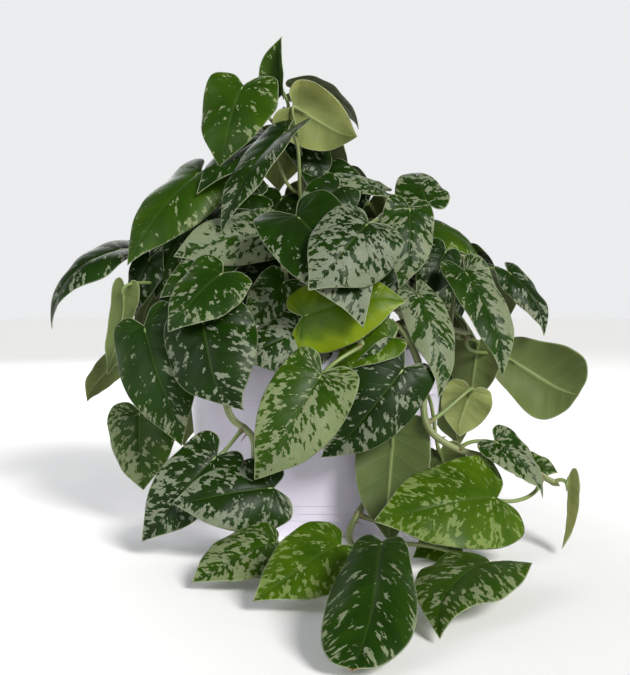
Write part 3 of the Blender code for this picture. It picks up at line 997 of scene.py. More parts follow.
@dataclass(frozen=True)
class Stem:
    """One bare stem: where it leaves the soil, then the points that it passes, in millimetres."""

    name: str
    root: tuple
    points: tuple
    in_cad: bool = True
    radius: float = 2.9 * MM
    thinning: float = 0.25
    root_depth: float = 20 * MM
    rise: float = 5 * MM
    longest_gap: float = 34 * MM
    rows_per_span: int = 16
    sides: int = 16

    def route(self, ground: float) -> Array:
        """The centre line from its buried end: a straight rise, then a curve through the points.

        Args:
            ground: height of the soil at the stem.

        Returns:
            Rows of points.
        """
        x, y = (value * MM for value in self.root)
        rows = np.vstack([(x, y, ground + self.rise), np.array(self.points) * MM])
        bent = spline(rows, np.linspace(0, len(rows) - 1, self.rows_per_span * (len(rows) - 1) + 1))
        buried, out = (x, y, ground - self.root_depth), (x, y, ground + self.rise)
        straight = np.linspace(buried, out, 8, endpoint=False)
        return np.vstack([straight, bent])

    @staticmethod
    def travelled(route: Array) -> Array:
        """Length along a route up to each of its rows."""
        return np.concatenate([[0.0], np.cumsum(np.linalg.norm(np.diff(route, axis=0), axis=1))])

    def at(self, ground: float, share: float) -> "tuple[Array, Array]":
        """The point and the direction at a share of the stem's length.

        Args:
            ground: height of the soil at the stem.
            share: how far along.

        Returns:
            The point, and the direction from 2 mm behind it to 2 mm ahead.
        """
        route = self.route(ground)
        length = self.travelled(route)
        steps = share * length[-1] + np.array((-2 * MM, 0.0, 2 * MM))
        behind, point, ahead = np.stack([np.interp(steps, length, route[:, k]) for k in range(3)], -1)
        return point, unit(ahead - behind)

    def joints(self, shares: "list[float]", length: float) -> Array:
        """Lengths at which the stem has a node: where a leaf grows, and in any gap that is too long.

        Args:
            shares: where its leaves grow.
            length: the stem's whole length.

        Returns:
            The lengths.
        """
        marks = sorted([0.0, *(share * length for share in shares), length])
        rows = []
        for a, b in zip(marks, marks[1:]):
            rows.append(np.linspace(a, b, max(1, round((b - a) / self.longest_gap)), endpoint=False))
        return np.concatenate(rows)[1:]

    def build(self, ground: float, shares: "list[float]", material: bpy.types.Material) -> bpy.types.Object:
        """Carries a ring along the route.

        Between nodes the radius falls evenly by the thinning share. At each node it swells by a
        bell a couple of millimetres long, and the last few millimetres taper to a bud.

        Args:
            ground: height of the soil at the stem.
            shares: where its leaves grow.
            material: the stem's finish.

        Returns:
            The stem.
        """
        coarse = self.route(ground)
        length = self.travelled(coarse)
        even = np.linspace(0, length[-1], int(length[-1] / (1.3 * MM)))
        route = np.stack([np.interp(even, length, coarse[:, k]) for k in range(3)], -1)
        off = np.abs(even[:, None] - self.joints(shares, length[-1])[None]).min(1)
        radii = self.radius * (1 - self.thinning * even / even[-1])
        swelling, neck = np.exp(-((off / (2.2 * MM)) ** 2)), np.exp(-((off / (7 * MM)) ** 2))
        radii = radii * (1 + 0.20 * swelling - 0.05 * neck)
        radii *= np.clip((even[-1] - even) / (5 * MM), 0.12, 1) ** 0.6
        rings = tube_rings(route, radii, self.sides)
        angle = np.linspace(0, math.tau, self.sides, endpoint=False)
        row = np.concatenate([even[:1], even, even[-1:]])[:, None]
        ring = np.exp(-((np.concatenate([off[:1], off, off[-1:]]) / (1.1 * MM)) ** 2))[:, None]
        own = sum(self.root) * 0.1 + 0 * row * angle
        vein = np.stack([0.003 * np.sin(angle) + 0 * row, row + 0 * angle, own], -1)
        age = 1 - smoothstep(0.0, 0.25, row / even[-1])
        share = np.stack([ring + 0 * angle, 0.4 * age + 0 * angle, 0 * row * angle], -1)
        skin = Skin()
        skin.add(rings, vein=vein, share=share)
        stem = skin.build(self.name + "_stem", [material], Slot.STEM)
        if self.in_cad:
            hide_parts(self.name)
        return stem


# ---------------------------------------------------------------- leaves


@dataclass(frozen=True)
class Leaf:
    """One leaf: its stem, how far along it grows, how its blade hangs, and how it is marked.

    Lengths are in millimetres. facing is the direction of the upper side. bow lifts the middle of
    the midrib, fold lifts the two halves and cup turns the margins back, each as a share of the size
    that it bends. silver is how much of the blade is silver, and edge, end and left add more towards
    the margin, the tip and the left half, seen from above with the tip down. curl bends the tip back,
    twist turns the blade along the midrib, hook bends the tip to the left, and wave ruffles the edge.
    lobe lifts the two lobes at the foot. glow yellows the left margin.
    """

    name: str
    stem: str
    along: float
    base: tuple
    tip: tuple
    width: float
    facing: tuple
    tone: Tone = Tone.MID
    silver: float = -0.08
    edge: float = 0.06
    end: float = 0.05
    left: float = 0.0
    bow: float = 0.09
    fold: float = 0.20
    cup: float = 0.42
    curl: float = 0.05
    twist: float = 0.0
    hook: float = 0.06
    wave: float = 1.7
    lobe: float = 0.24
    glow: float = 0.0
    slot: Slot = Slot.LEAF_MID
    in_cad: bool = True
    arrive: float = 0.5
    outline: tuple = HEART_OUTLINE


@dataclass
class LeafMaker:
    """Turns a row of the leaf table into a blade grown in one with its petiole."""

    finish: LeafFinish = field(default_factory=LeafFinish)
    rows: int = 58
    reach: tuple = (0.012, 0.03, 0.06, 0.11, 0.18, 0.27, 0.38, 0.50, 0.62, 0.74, 0.84, 0.92, 0.97)
    thickness: float = 0.62 * MM
    margin_thickness: float = 0.38 * MM
    veins: int = 11
    margin_width: float = 4 * MM
    groove_depth: float = 0.42 * MM
    groove_width: float = 1.0 * MM
    keel_depth: float = 0.95 * MM
    keel_width: float = 1.15 * MM
    quilt_depth: float = 0.12 * MM
    hollow_depth: float = 0.5 * MM
    hollow_size: float = 9 * MM
    lowest: float = 0.3 * MM
    petiole_radius: float = 1.35 * MM
    petiole_rows: int = 40
    petiole_sides: int = 12
    floor_clearance: float = 0.9 * MM
    materials: "list[bpy.types.Material]" = field(init=False)

    def __post_init__(self) -> None:
        """Makes the three finishes once, for all leaves."""
        self.materials = [self.finish.upper(), self.finish.under(), self.finish.petiole()]

    def sheet(self, leaf: Leaf, across: Array, along: Array, turn: Array, seed: float) -> Array:
        """Places of the blade's middle sheet.

        A point lies on the midrib's line at its share of the length, then across by its share of the
        half width. It is lifted by the midrib's bow, the fold and the cup of the two halves and the
        ruffle of the margin, and drawn back near the tip. The cross direction turns with the length.

        Args:
            leaf: the row of the table.
            across: share of the half width, negative to the right.
            along: share of the length.
            turn: share of the way round the outline, for the ruffle.
            seed: number that sets this leaf's own small unevenness.

        Returns:
            The places, with the shape of across and one more axis.
        """
        base = np.array(leaf.base) * MM
        run = np.array(leaf.tip) * MM - base
        length = np.linalg.norm(run)
        forward = run / length
        facing = np.array(leaf.facing, float)
        facing = unit(facing - forward * (facing @ forward))
        side = np.cross(forward, facing)
        half = leaf.width * MM / 2
        reach = np.sqrt(across**2 + 0.0009) - 0.03
        fold = leaf.fold + 0.11 * math.sin(seed * 7.7)
        half_side = np.sign(across)
        cup = leaf.cup + 0.12 * math.sin(seed * 3.3) + 0.12 * np.sin(seed * 5.9 + 4 * along) * half_side
        lift = leaf.bow * length * 4 * along * (1 - along) + half * (fold * reach - cup * across**2)
        lift = lift + leaf.lobe * half * across**2 * smoothstep(0.30, -0.10, along)
        phase = np.where(across > 0, seed * 2.3, seed * 3.7)
        ruffle = np.sin(math.tau * 2.4 * turn + phase) + 0.4 * np.sin(math.tau * 5.3 * turn + 2 * phase)
        lift = lift + leaf.wave * MM * ruffle * across**2
        last = np.clip((along - 0.62) / 0.38, 0, 1) ** 2
        lift = lift - leaf.curl * length * last
        shift = half * across * (1 + 0.05 * math.sin(seed * 5.1) * half_side)
        shift = shift + leaf.hook * length * last
        angle = leaf.twist * (along - 0.25)
        sideways = np.cos(angle)[..., None] * side + np.sin(angle)[..., None] * facing
        upwards = np.cos(angle)[..., None] * facing - np.sin(angle)[..., None] * side
        places = base + forward * (length * along)[..., None]
        places = places + sideways * shift[..., None] + upwards * lift[..., None]
        places[..., 2] = np.maximum(places[..., 2], self.floor_clearance)
        return places

    def blade(self, leaf: Leaf, seed: float, skin: Skin) -> None:
        """Adds the blade.

        A row starts on the midrib, runs out along a lateral vein to one point of the outline, and
        has its mirror image on the other half. The sheet's two sides stand off it by half of the
        thickness along its normal: the upper is grooved over the midrib and quilted between the
        veins, and the lower has the midrib's keel.

        Args:
            leaf: the row of the table.
            seed: this leaf's own number.
            skin: the mesh in the making.
        """
        turn = np.linspace(0, 1, self.rows)[:, None]
        corners = np.array(leaf.outline)
        outline = spline(corners, turn[:, 0] * (len(corners) - 1))
        width, length_share, foot = (np.maximum(outline[:, k], -1)[:, None] for k in range(3))
        width = np.maximum(width, 0.0)
        inner = np.array(self.reach)
        sides = np.concatenate([-inner[::-1], [0.0], inner])
        span = np.concatenate([[-1.0], sides, [1.0]])[None]
        out = np.abs(span)
        across = span * width
        along = foot + (length_share - foot) * out**1.12
        middle = self.sheet(leaf, across, along, turn + 0 * span, seed)
        down = np.gradient(middle, axis=0)
        over = np.gradient(middle, axis=1)
        normal = unit(np.cross(over, down))
        facing = np.array(leaf.facing, float)
        if (normal[4:-4] @ facing).mean() < 0:
            normal = -normal
        normal[:2], normal[-2:] = normal[2], normal[-3]
        half = leaf.width * MM / 2
        size = np.linalg.norm(np.subtract(leaf.tip, leaf.base)) * MM
        flat = np.stack([across * half, along * size], -1)
        rim = np.concatenate([flat[:, 0], flat[:, -1]])
        fine = np.concatenate([rim[:-1] + (rim[1:] - rim[:-1]) * s for s in (0, 0.25, 0.5, 0.75)])
        edge = np.linalg.norm(flat[:, :, None] - fine[None, None], axis=-1).min(-1)
        edge = np.minimum(edge, 5 * MM)
        distance = np.abs(across) * half
        thick = smoothstep(0, self.margin_width, edge)
        thick = self.margin_thickness + (self.thickness - self.margin_thickness) * thick
        groove = self.groove_depth * np.exp(-((distance / self.groove_width) ** 2))
        groove = groove * np.clip(1 - along, 0, 1) ** 0.4
        keel = self.keel_depth * np.exp(-((distance / self.keel_width) ** 2))
        keel = keel * (1 - 0.85 * np.clip(along, 0, 1))
        pillow = np.cos(math.tau * self.veins * turn) * 4 * out * (1 - out) * np.minimum(1, width * 2)
        quilt = self.quilt_depth * pillow
        spots = flat / self.hollow_size
        hollow = self.hollow_depth * (lattice_noise(spots[..., 0] + seed, spots[..., 1], seed) - 0.5)
        upper = middle + normal * (thick / 2 - groove - quilt + hollow)[..., None]
        lower = middle - normal * (thick / 2 + keel + quilt - hollow)[..., None]
        lower[..., 2] = np.maximum(lower[..., 2], self.lowest)
        ring = np.concatenate([middle[:, :1], upper[:, 1:-1], middle[:, -1:], lower[:, 1:-1][:, ::-1]], 1)

        def around(value: Array) -> Array:
            """The same value carried round the ring's two sides."""
            return np.concatenate([value, value[:, 1:-1][:, ::-1]], 1)

        rib = half * out * np.hypot(width, 0.6 * (length_share - foot))
        own = 0 * out + turn * 0 + seed * 9.7
        vein = np.stack([np.sign(span) * rib, (turn + 0 * out) * size * 1.5, own], -1)
        bias = leaf.silver + leaf.edge * (out**2 - 0.35) + leaf.end * (2 * along - 1)
        bias = bias + leaf.left * np.tanh(4 * span)
        bias = bias - 0.10 * np.exp(-((distance / (1.6 * MM)) ** 2))
        tone = leaf.tone.value + 0.12 * (out**2 - 0.3) + leaf.glow * smoothstep(0.55, 1.0, span) + 0 * bias
        look = np.stack([bias, tone, edge * 1000], -1)
        share = np.stack([out + 0 * along, turn + 0 * along, along], -1)
        columns = len(span[0]) - 1
        finish = np.concatenate([np.zeros(columns, int), np.ones(columns, int)])
        skin.add(ring, finish, vein=around(vein), look=around(look), share=around(share))

    def petiole_line(self, leaf: Leaf, stem: Stem, ground: float) -> Array:
        """The petiole's centre line: a cubic from the stem's side that bends over into the midrib.

        The last tenth runs on under the midrib, where the petiole passes into its keel.

        Args:
            leaf: the row of the table.
            stem: the stem that it grows from.
            ground: height of the soil at the stem.

        Returns:
            Rows of points.
        """
        start, tangent = stem.at(ground, leaf.along)
        base = np.array(leaf.base) * MM
        run = unit(np.array(leaf.tip) * MM - base)
        facing = unit(np.array(leaf.facing, float))
        size = np.linalg.norm(np.subtract(leaf.tip, leaf.base)) * MM
        away = base - start
        away = unit(away - tangent * (away @ tangent))
        start = start + away * stem.radius * 0.5
        first, last = (
            base + run * size * v + facing * size * leaf.bow * 4 * v * (1 - v) for v in (0.05, 0.17)
        )
        last = last - facing * 1.7 * MM
        first = first - facing * 1.2 * MM
        pull = 0.4 * np.linalg.norm(first - start)
        arrival = unit(run * leaf.arrive + facing * (1 - leaf.arrive))
        t = np.linspace(0, 1, self.petiole_rows)[:, None]
        a, b, c, d = start, start + away * pull, first - arrival * pull, first
        bent = a * (1 - t) ** 3 + b * 3 * t * (1 - t) ** 2 + c * 3 * t**2 * (1 - t) + d * t**3
        return np.vstack([bent, first + (last - first) * np.array([[0.25], [0.5], [0.75], [1.0]])])

    def petiole(self, leaf: Leaf, stem: Stem, ground: float, seed: float, skin: Skin) -> None:
        """Adds the petiole: a tube with a sheathing foot, swollen again where it meets the blade.

        Args:
            leaf: the row of the table.
            stem: the stem that it grows from.
            ground: height of the soil at the stem.
            seed: this leaf's own number.
            skin: the mesh in the making.
        """
        line = self.petiole_line(leaf, stem, ground)
        line[:, 2] = np.maximum(line[:, 2], 1.6 * MM)
        count = len(line)
        share = np.linspace(0, 1, count)
        sheath, knuckle = np.exp(-share / 0.09), np.exp(-(((share - 0.86) / 0.06) ** 2))
        radii = self.petiole_radius * (1 + 0.75 * sheath + 0.30 * knuckle)
        radii *= 1 - 0.75 * smoothstep(0.9, 1.0, share)
        rings = tube_rings(line, radii, self.petiole_sides)
        angle = np.linspace(0, math.tau, self.petiole_sides, endpoint=False)
        length = Stem.travelled(line)
        row = np.concatenate([length[:1], length, length[-1:]])[:, None]
        part = np.concatenate([share[:1], share, share[-1:]])[:, None]
        none = 0 * row * angle
        vein = np.stack([0.002 * np.sin(angle) + 0 * row, row + 0 * angle, seed * 3.1 + none], -1)
        look = np.stack([none, leaf.tone.value + none, none], -1)
        shares = np.stack([part + 0 * angle, none, none], -1)
        skin.add(rings, 2, vein=vein, look=look, share=shares)

    def build(self, leaf: Leaf, stem: Stem, ground: float, seed: float) -> bpy.types.Object:
        """One leaf, which stands for its CAD node where it has one.

        Args:
            leaf: the row of the table.
            stem: the stem that it grows from.
            ground: height of the soil at the stem.
            seed: this leaf's own number.

        Returns:
            The leaf.
        """
        skin = Skin()
        self.blade(leaf, seed, skin)
        self.petiole(leaf, stem, ground, seed, skin)
        piece = skin.build(leaf.name + "_blade", self.materials, leaf.slot)
        if leaf.in_cad:
            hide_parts(leaf.name)
        return piece


def vine(name: str, root: tuple, points: tuple) -> Stem:
    """One vine of the table."""
    return Stem("vine_" + name, root, points)


def packed(name: str, stem: str, *places: object, **more: object) -> Leaf:
    """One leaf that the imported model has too."""
    return Leaf("leaf_" + name, "vine_" + stem, *places, **more)


def filler(name: str, stem: str, *places: object, **more: object) -> Leaf:
    """A leaf that only the dressed model has, between or behind the others."""
    return Leaf("filler_" + name, "vine_" + stem, *places, in_cad=False, **more)


STEMS = (
    vine("crown", (-4, 6), ((-8, 2, 190), (-9, -3, 265), (-16, -4, 300), (-25, -6, 322))),
    vine("left_high", (-34, 4), ((-38, 2, 190), (-50, -4, 238), (-66, -10, 258))),
    vine("left_far", (-62, 12), ((-80, 10, 165), (-106, 4, 194), (-134, 2, 206))),
    vine(
        "left_rim", (-52, -40),
        ((-66, -60, 158), (-92, -66, 166), (-116, -56, 158), (-134, -36, 128), (-140, -30, 98)),
    ),
    vine("front", (-14, -52), ((-18, -68, 168), (-22, -84, 196), (-16, -90, 214))),
    vine("middle", (26, -22), ((32, -34, 190), (44, -48, 226), (58, -60, 240))),
    vine("right_high", (52, 4), ((66, 0, 176), (86, -6, 204), (112, -16, 206), (134, -16, 190))),
    vine("right_low", (44, -56), ((66, -78, 156), (92, -76, 152), (116, -56, 146))),
    vine(
        "trail_right", (22, -70),
        ((46, -90, 155), (62, -106, 150), (74, -114, 122), (77, -118, 88),
         (93, -117, 72), (118, -112, 63), (146, -114, 56), (172, -110, 42)),
    ),
    vine(
        "trail_front", (-2, -78),
        ((10, -96, 154), (32, -116, 143), (46, -110, 104), (50, -97, 56),
         (24, -122, 12), (34, -160, 4), (40, -204, 4), (34, -236, 6)),
    ),
    vine(
        "trail_left", (-40, -62),
        ((-54, -92, 152), (-62, -114, 142), (-63, -118, 112), (-58, -120, 92),
         (-43, -126, 79), (-41, -130, 58), (-36, -138, 26), (-24, -152, 6)),
    ),
    vine(
        "back_left", (-28, 52),
        ((-44, 78, 162), (-62, 104, 158), (-76, 116, 128), (-84, 116, 88), (-88, 118, 50)),
    ),
    vine(
        "back_right", (34, 50),
        ((54, 76, 160), (74, 98, 158), (86, 112, 128), (92, 112, 90), (94, 116, 52)),
    ),
)

DARK, DEEP, MID, FRESH, BRIGHT = Tone
DARK_SLOT, BRIGHT_SLOT, SILVER_SLOT = Slot.LEAF_DARK, Slot.LEAF_BRIGHT, Slot.LEAF_SILVER

LEAVES = (
    packed(
        "crown_1", "crown", 0.9, (-55, -24, 336), (-70, -42, 272), 62, (-0.3, -1, 0.35), MID, -0.10,
        edge=0.02, end=0.0,
    ),
    packed(
        "crown_2", "crown", 0.985, (-26, -9, 331), (-28, -6, 376), 30, (-0.75, -0.8, 0.1), MID, -0.12,
        fold=0.9, cup=0.2, bow=0.02, curl=0.0, wave=0.3,
    ),
    packed(
        "crown_3", "crown", 0.84, (-17, -16, 321), (32, -24, 292), 48, (0.5, 0.8, -0.25), FRESH, -0.12,
        bow=0.16, fold=0.35, cup=0.6, curl=0.16, wave=3.6, glow=0.4,
    ),
    packed(
        "crown_4", "crown", 0.92, (-14, 12, 338), (36, 4, 306), 42, (0.25, 0.35, 0.9), DARK, -0.08,
        bow=0.2, slot=DARK_SLOT,
    ),
    packed(
        "crown_5", "crown", 0.62, (-20, -40, 300), (-67, -78, 222), 40, (-0.7, -0.8, 0.25), DARK, -0.08,
        slot=DARK_SLOT,
    ),
    packed(
        "crown_6", "crown", 0.66, (-36, -2, 300), (-86, -50, 252), 42, (-0.4, -0.9, 0.5), DARK, -0.14,
        slot=DARK_SLOT,
    ),
    packed(
        "left_1", "left_high", 0.95, (-88, -20, 271), (-139, -52, 198), 58, (-0.4, -0.85, 0.5), MID, -0.12,
        edge=0.12, slot=BRIGHT_SLOT,
    ),
    packed(
        "left_2", "left_high", 0.8, (-92, -2, 244), (-122, -26, 172), 54, (-0.45, -0.9, 0.4), DEEP, -0.09,
    ),
    packed(
        "left_3", "left_far", 0.97, (-149, -8, 211), (-209, -16, 148), 44, (-0.5, -0.5, 0.75), DARK, -0.08,
        bow=0.2, slot=DARK_SLOT,
    ),
    packed(
        "rim_1", "front", 0.8, (-32, -56, 222), (-103, -70, 202), 52, (-0.05, -0.85, 0.55), DEEP, 0.09,
        slot=SILVER_SLOT,
    ),
    packed(
        "rim_2", "front", 0.66, (-64, -106, 192), (-99, -126, 151), 50, (-0.2, -0.8, 0.55), DEEP, -0.08,
        edge=0.12,
    ),
    packed(
        "rim_3", "left_rim", 0.52, (-124, -82, 154), (-90, -112, 73), 58, (-0.25, -1, 0.25), DEEP, -0.10,
        end=0.06, slot=BRIGHT_SLOT,
    ),
    packed(
        "rim_4", "left_rim", 0.97, (-132, -54, 88), (-126, -66, 30), 58, (-0.3, -0.9, 0.2), MID, -0.02,
        left=0.06, slot=SILVER_SLOT,
    ),
    packed(
        "front_1", "front", 0.95, (-14, -88, 233), (38, -140, 160), 68, (0.1, -0.85, 0.5), DARK, -0.06,
        end=0.16, slot=SILVER_SLOT,
    ),
    packed(
        "front_2", "front", 0.5, (-78, -114, 160), (-62, -138, 96), 66, (-0.1, -1, 0.2), DARK, -0.06,
        hook=-0.2, wave=2.6, slot=DARK_SLOT,
    ),
    packed(
        "front_3", "front", 0.42, (-9, -110, 161), (62, -116, 177), 56, (0.05, -0.9, 0.45), BRIGHT, -0.16,
        glow=0.3, slot=BRIGHT_SLOT,
    ),
    packed(
        "front_4", "trail_front", 0.24, (5, -142, 125), (-36, -162, 54), 56, (-0.1, -1, 0.2), MID, 0.03,
        left=-0.05, slot=SILVER_SLOT,
    ),
    packed(
        "front_5", "trail_right", 0.3, (62, -122, 127), (8, -130, 62), 54, (0.05, -1, 0.15), DARK, -0.03,
        curl=0.02, slot=DARK_SLOT,
    ),
    packed(
        "middle_1", "middle", 0.97, (37, -116, 226), (-1, -147, 179), 60, (0.05, -0.9, 0.4), DARK, 0.06,
        slot=SILVER_SLOT,
    ),
    packed(
        "middle_2", "middle", 0.9, (68, -84, 239), (63, -106, 181), 38, (0.2, -0.9, 0.35), DEEP, 0.02,
        slot=SILVER_SLOT,
    ),
    packed(
        "middle_3", "middle", 0.66, (19, -52, 256), (-10, -68, 226), 38, (0.0, -0.85, 0.5), DARK, -0.10,
        slot=DARK_SLOT,
    ),
    packed(
        "middle_4", "middle", 0.74, (54, -22, 255), (6, -26, 264), 40, (0.0, -0.45, 0.9), DEEP, 0.08,
        slot=SILVER_SLOT,
    ),
    packed(
        "middle_5", "middle", 0.84, (84, -46, 244), (76, -8, 272), 40, (0.1, -0.8, 0.6), DEEP, 0.0,
        slot=SILVER_SLOT,
    ),
    packed(
        "right_1", "right_high", 0.62, (86, -2, 230), (136, 6, 188), 42, (0.4, -0.45, 0.85), MID, -0.10,
        bow=0.2, glow=0.2, slot=BRIGHT_SLOT,
    ),
    packed(
        "right_2", "right_high", 0.97, (148, -32, 193), (178, -44, 146), 32, (0.6, -0.75, 0.35), DARK,
        -0.06, slot=DARK_SLOT,
    ),
    packed(
        "right_3", "right_low", 0.8, (110, -64, 194), (140, -90, 119), 40, (0.35, -0.85, 0.3), DEEP, 0.0,
        left=-0.07, slot=SILVER_SLOT,
    ),
    packed(
        "right_5", "right_low", 0.55, (72, -92, 178), (91, -122, 107), 36, (0.5, -0.9, 0.2), DEEP, 0.07,
        slot=SILVER_SLOT,
    ),
    packed(
        "right_6", "right_low", 0.97, (146, -28, 128), (201, -34, 94), 60, (0.1, 1, -0.1), DEEP, -0.06,
        outline=BLUNT_OUTLINE,
    ),
    packed(
        "trail_right_1", "trail_right", 0.58, (113, -86, 107), (101, -96, 75), 36, (0.1, 0.9, 0.2), FRESH,
    ),
    packed(
        "trail_right_2", "trail_right", 0.7, (124, -122, 76), (158, -132, 40), 36, (0.5, -0.7, 0.5), DEEP,
        0.06, twist=0.7, slot=SILVER_SLOT,
    ),
    packed(
        "trail_right_3", "trail_right", 0.985, (178, -112, 47), (168, -138, 3), 16, (1, -0.2, 0), BRIGHT,
        -0.08, fold=1.0, cup=0.0, bow=0.03, curl=0.0, wave=0.2,
    ),
    packed(
        "trail_right_4", "trail_right", 0.94, (122, -150, 42), (40, -182, 31), 70, (0.1, -0.75, 0.65),
        FRESH, -0.02, edge=0.10, slot=BRIGHT_SLOT,
    ),
    packed(
        "trail_right_5", "trail_front", 0.76, (104, -228, 20), (54, -310, 4), 54, (-0.25, -0.45, 0.87),
        MID, -0.05, curl=0.0, hook=-0.12,
    ),
    packed(
        "trail_front_1", "trail_front", 0.98, (38, -258, 40), (24, -364, 5), 46, (-0.05, -0.6, 0.8), DEEP,
        -0.09, edge=0.0, end=0.02, curl=0.0, slot=DARK_SLOT, outline=BLUNT_OUTLINE,
    ),
    packed(
        "trail_front_2", "trail_front", 0.88, (16, -226, 30), (-32, -268, 6), 50, (-0.1, -0.7, 0.7), FRESH,
        -0.04, edge=0.03, curl=0.0,
    ),
    packed("trail_front_3", "trail_right", 0.47, (55, -110, 82), (48, -128, 5), 52, (0.1, 1, 0.1), DARK),
    packed(
        "trail_left_1", "trail_left", 0.86, (-27, -147, 48), (-93, -162, 38), 52, (-0.05, -0.85, 0.5),
        DARK, -0.02, edge=0.18, slot=SILVER_SLOT,
    ),
    packed(
        "trail_left_2", "trail_left", 0.62, (-66, -134, 68), (-114, -150, 10), 46, (-0.2, -0.9, 0.4), DARK,
        -0.02, slot=DARK_SLOT,
    ),
    packed(
        "trail_left_3", "trail_left", 0.97, (-24, -186, 21), (-72, -224, 4), 52, (0.0, -0.45, 0.9), MID,
        0.02, curl=0.0,
    ),
    packed(
        "back_1", "back_left", 0.4, (-54, 98, 190), (-86, 128, 146), 58, (-0.3, 1, 0.4), DARK,
        slot=DARK_SLOT,
    ),
    packed("back_2", "back_left", 0.72, (-104, 112, 118), (-118, 126, 56), 54, (-0.5, 0.9, 0.3)),
    packed(
        "back_3", "back_right", 0.4, (46, 100, 198), (80, 130, 152), 58, (0.3, 1, 0.4), DEEP, 0.02,
        slot=SILVER_SLOT,
    ),
    packed(
        "back_4", "back_right", 0.72, (116, 102, 122), (122, 122, 62), 54, (0.4, 0.9, 0.3), DARK,
        slot=DARK_SLOT,
    ),
    packed("back_5", "crown", 0.58, (2, 28, 262), (10, 66, 196), 60, (0, 1, 0.5), MID, -0.04),
)


